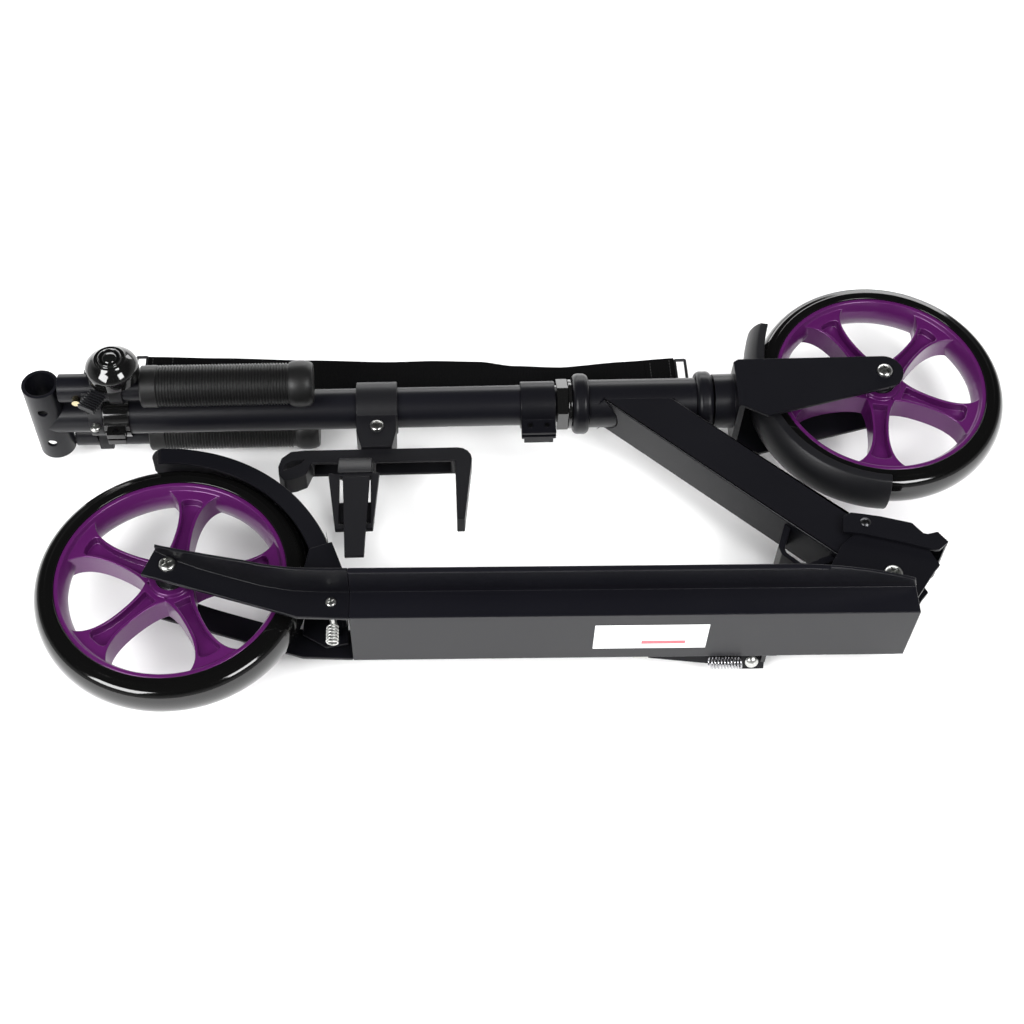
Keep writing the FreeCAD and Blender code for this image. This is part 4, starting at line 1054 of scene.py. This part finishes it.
# --- Carry strap ---------------------------------------------------------------
@dataclass
class CarryStrap:
    """Webbing strap with a stitched hem at each end, on two wire loops."""

    start: float = -39.5
    end: float = 387.5
    z: float = -8.1
    thickness: float = 1.7
    foot: float = 26.6
    crest: tuple[tuple[float, float], ...] = (
        (-40, 63.5), (20, 60.5), (91, 56.4), (156, 53), (190, 53.4), (229, 51.6), (255, 46.5),
        (294, 43.9), (345, 48.5), (388, 51.5))
    wire_radius: float = 1.3
    wire_corner: float = 2.0
    wires: tuple[tuple[str, float, float, float, float], ...] = (
        ("rear", -50, -39, 29, 65), ("front", 387, 398, 28, 51))

    def edge(self, x: float) -> float:
        """Give the strap's upper edge at a point along it."""
        for (x0, y0), (x1, y1) in zip(self.crest, self.crest[1:]):
            if x <= x1:
                share = (x - x0) / (x1 - x0)
                ease = share * share * (3 - 2 * share)
                return y0 + (y1 - y0) * (0.5 * share + 0.5 * ease)
        return self.crest[-1][1]

    def ribbon(self, start: float, end: float, lift: float, thick: float,
               inset: float = 0.0) -> Form:
        """Draw a length of the webbing.

        Args:
            start: Where it starts along the stem.
            end: Where it ends.
            lift: How far its middle stands from the strap's own middle.
            thick: Its thickness.
            inset: How far its edges stand inside the strap's.

        Returns:
            The closed ribbon's form.
        """
        form = Form()
        columns = max(4, int((end - start) / 4))
        bmesh.ops.create_grid(form.bm, x_segments=columns, y_segments=8, size=0.5)
        for vert in form.bm.verts:
            x = start + (vert.co.x + 0.5) * (end - start)
            share = vert.co.y + 0.5
            top = self.edge(x) - inset
            low = self.foot + inset
            wave = 0.22 * math.sin(x * 0.041) * math.sin(math.pi * share)
            vert.co = Vector((x, low + (top - low) * share, self.z + lift + wave))
        grown = bmesh.ops.extrude_face_region(form.bm, geom=form.bm.faces[:])["geom"]
        top = [g for g in grown if isinstance(g, bmesh.types.BMVert)]
        bmesh.ops.translate(form.bm, vec=(0, 0, thick), verts=top)
        bmesh.ops.translate(form.bm, vec=(0, 0, -thick / 2), verts=form.bm.verts)
        bmesh.ops.recalc_face_normals(form.bm, faces=form.bm.faces)
        return form

    def build(self) -> None:
        """Make the strap, its hems and its stitches."""
        strap = self.ribbon(self.start, self.end, 0.0, self.thickness).finish(
            "carry_strap_webbing", Place.STEM, WEBBING, "steering", ("carry_strap",))
        for name, low, high in (("rear", self.start + 0.5, self.start + 24),
                                ("front", self.end - 24, self.end - 0.5)):
            self.ribbon(low, high, self.thickness / 2 + 0.35, 0.7, 0.6).finish(
                "carry_strap_hem_" + name, Place.STEM, WEBBING, "steering")
        self._stitches()
        area = self._area()

    def _area(self) -> float:
        """Give the strap's flat area in square metres."""
        total, step = 0.0, 2.0
        x = self.start
        while x < self.end:
            total += step * (self.edge(x + step / 2) - self.foot)
            x += step
        return total * MM * MM

    def _stitches(self) -> bpy.types.Object:
        """Make the hems' stitches, two rows across each hem."""
        form = Form()
        top = self.z + self.thickness / 2 + 0.75
        for column in (self.start + 4, self.start + 20, self.end - 20, self.end - 4):
            y = self.foot + 2.0
            while y < self.edge(column) - 3.5:
                form.block((column - 0.3, y, top), (column + 0.3, y + 2.0, top + 0.35), 0.12, 1)
                y += 3.0
        return form.finish("carry_strap_stitches", Place.STEM, THREAD, "steering",
                           slot="webbing")

    def loops(self) -> None:
        """Make the two wire loops."""
        for name, low, high, foot, crest in self.wires:
            r = self.wire_radius
            x0, x1, y0, y1 = low + r, high - r, foot + r, crest - r
            cut = self.wire_corner
            points = [(x0 + cut, y0, self.z), (x1 - cut, y0, self.z), (x1, y0, self.z),
                      (x1, y0 + cut, self.z), (x1, y1 - cut, self.z), (x1, y1, self.z),
                      (x1 - cut, y1, self.z), (x0 + cut, y1, self.z), (x0, y1, self.z),
                      (x0, y1 - cut, self.z), (x0, y0 + cut, self.z), (x0, y0, self.z)]
            wire("strap_wire_" + name, points, r, Place.STEM, DARK_STEEL, "steering",
                 ("strap_loops",) if name == "rear" else ())


# --- Studio --------------------------------------------------------------------
@dataclass
class Studio:
    """Camera, floor, world and lights."""

    focal: float = 58.44
    sensor: float = 36.0
    eye: Point = (204.29, -652.77, 1037.29)
    tilt: float = 34.674
    roll: float = -1.4278
    spin: float = -1.5676
    floor_half: float = 6.0
    panels: tuple[tuple[str, Point, Point, float, float, float], ...] = (
        ("panel_left", (-1.25, -1.23, 1.32), (0.0, 0.0, 0.0), 1.1, 0.8, 40.0),
        ("panel_right", (1.06, -1.15, 1.55), (0.0, 0.0, 0.0), 0.75, 0.7, 24.0),
        ("panel_back", (0.1, 2.3, 0.75), (0.0, 0.0, 0.0), 3.0, 0.7, 30.0))
    key: tuple[Point, float, float] = ((0.1, -0.5, 2.8), 3.6, 150.0)
    sky: tuple[tuple[str, float], ...] = (
        ("From Min", 0.02), ("From Max", 0.45), ("To Min", 0.6), ("To Max", 0.015))
    floor_shade: float = 0.93
    floor_rough: float = 0.9
    floor_specular: float = 0.1

    def build(self) -> None:
        """Set the camera, the floor and the lights."""
        self._view()
        self._camera()
        self._floor()
        self._world()
        self._lights()

    def _camera(self) -> None:
        """Create the camera and make it the scene's."""
        turn = (Matrix.Rotation(math.radians(self.spin), 4, "Z")
                @ Matrix.Rotation(math.radians(self.roll), 4, "Y")
                @ Matrix.Rotation(math.radians(self.tilt), 4, "X"))
        data = bpy.data.cameras.new("view")
        data.lens = self.focal
        data.sensor_width = self.sensor
        data.clip_start, data.clip_end = 0.05, 50.0
        camera = bpy.data.objects.new("view", data)
        bpy.context.scene.collection.objects.link(camera)
        eye = Place.DECK.matrix() @ Vector(self.eye)
        camera.matrix_world = Matrix.Translation(eye) @ turn
        bpy.context.scene.camera = camera

    def _floor(self) -> None:
        """Lay the plain pale floor at the height that the scooter rests on."""
        form = Form()
        bmesh.ops.create_grid(form.bm, x_segments=1, y_segments=1, size=self.floor_half)
        mesh = bpy.data.meshes.new("floor")
        form.bm.to_mesh(mesh)
        form.bm.free()
        floor = bpy.data.objects.new("floor", mesh)
        bpy.context.scene.collection.objects.link(floor)
        paint = bpy.data.materials.new("floor_paint")
        paint.use_nodes = True
        shader = paint.node_tree.nodes["Principled BSDF"]
        shade = self.floor_shade
        shader.inputs["Base Color"].default_value = (shade, shade, shade, 1.0)
        shader.inputs["Roughness"].default_value = self.floor_rough
        shader.inputs["Specular IOR Level"].default_value = self.floor_specular
        mesh.materials.append(paint)

    @staticmethod
    def _view() -> None:
        """Show the light as it is, with no film curve."""
        bpy.context.scene.view_settings.view_transform = "Standard"

    def _world(self) -> None:
        """Give the world a bright horizon under a dim sky."""
        world = bpy.data.worlds.new("studio")
        bpy.context.scene.world = world
        world.use_nodes = True
        tree = world.node_tree
        ground = tree.nodes["Background"]
        place = tree.nodes.new("ShaderNodeTexCoord")
        split = tree.nodes.new("ShaderNodeSeparateXYZ")
        fade = tree.nodes.new("ShaderNodeMapRange")
        for socket, value in self.sky:
            fade.inputs[socket].default_value = value
        tree.links.new(place.outputs["Generated"], split.inputs["Vector"])
        tree.links.new(split.outputs["Z"], fade.inputs["Value"])
        tree.links.new(fade.outputs["Result"], ground.inputs["Strength"])
        ground.inputs["Color"].default_value = (1.0, 1.0, 1.0, 1.0)

    def _lights(self) -> None:
        """Stand the soft panels and the overhead key round the scooter."""
        for name, place, aim, width, height, power in self.panels:
            self._panel(name, place, aim, width, height, power, True)
        place, size, power = self.key
        self._panel("key", place, (0.0, 0.0, 0.0), size, size, power, False)

    @staticmethod
    def _panel(name: str, place: Point, aim: Point, width: float, height: float, power: float,
               mirrored: bool) -> None:
        """Make one rectangular light that looks at a point.

        Args:
            name: The light's name.
            place: Where it stands.
            aim: What it looks at.
            width: Its width in metres.
            height: Its height in metres.
            power: Its power in watts.
            mirrored: Whether glossy surfaces show it.
        """
        data = bpy.data.lights.new(name, "AREA")
        data.shape = "RECTANGLE"
        data.size, data.size_y = width, height
        data.energy = power
        light = bpy.data.objects.new(name, data)
        light.location = place
        look = Vector(aim) - Vector(place)
        light.rotation_euler = look.to_track_quat("-Z", "Y").to_euler()
        light.visible_glossy = mirrored
        bpy.context.scene.collection.objects.link(light)


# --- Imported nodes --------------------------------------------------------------
class NodePaint:
    """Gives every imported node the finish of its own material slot."""

    overrides: dict[str, Finish] = {
        "brake_spring": ZINC, "kickstand_spring": BEARING_STEEL, "fold_lever_spring": ZINC}

    def paint(self) -> None:
        """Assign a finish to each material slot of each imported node."""
        by_name = {finish.name: finish for finish in FINISHES}
        label = LabelPaper()
        for name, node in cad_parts.items():
            wanted = self.overrides.get(name)
            for slot in node.material_slots:
                base = slot.material.name.split(".")[0] if slot.material else ""
                if base == label.name:
                    slot.material = label.material()
                else:
                    slot.material = (wanted or by_name.get(base, BLACK_PLASTIC)).material()
            LOG.info("%s painted", name)


def main() -> None:
    """Build the studio and every piece, in order."""
    logging.basicConfig(level=logging.INFO, format="%(name)s: %(message)s")
    for stale in list(bpy.data.materials):
        stale.name = stale.name + ".packed"
    Studio().build()
    NodePaint().paint()
    Wheel("rear", "rear_wheel", Place.DECK).build()
    Wheel("front", "front_wheel", Place.FRONT_AXLE).build()
    Deck().build()
    Neck().build()
    Steering().build()
    BottleHolder().build()
    strap = CarryStrap()
    strap.loops()
    strap.build()
    Handlebar().build()


if __name__ == "__main__":
    main()
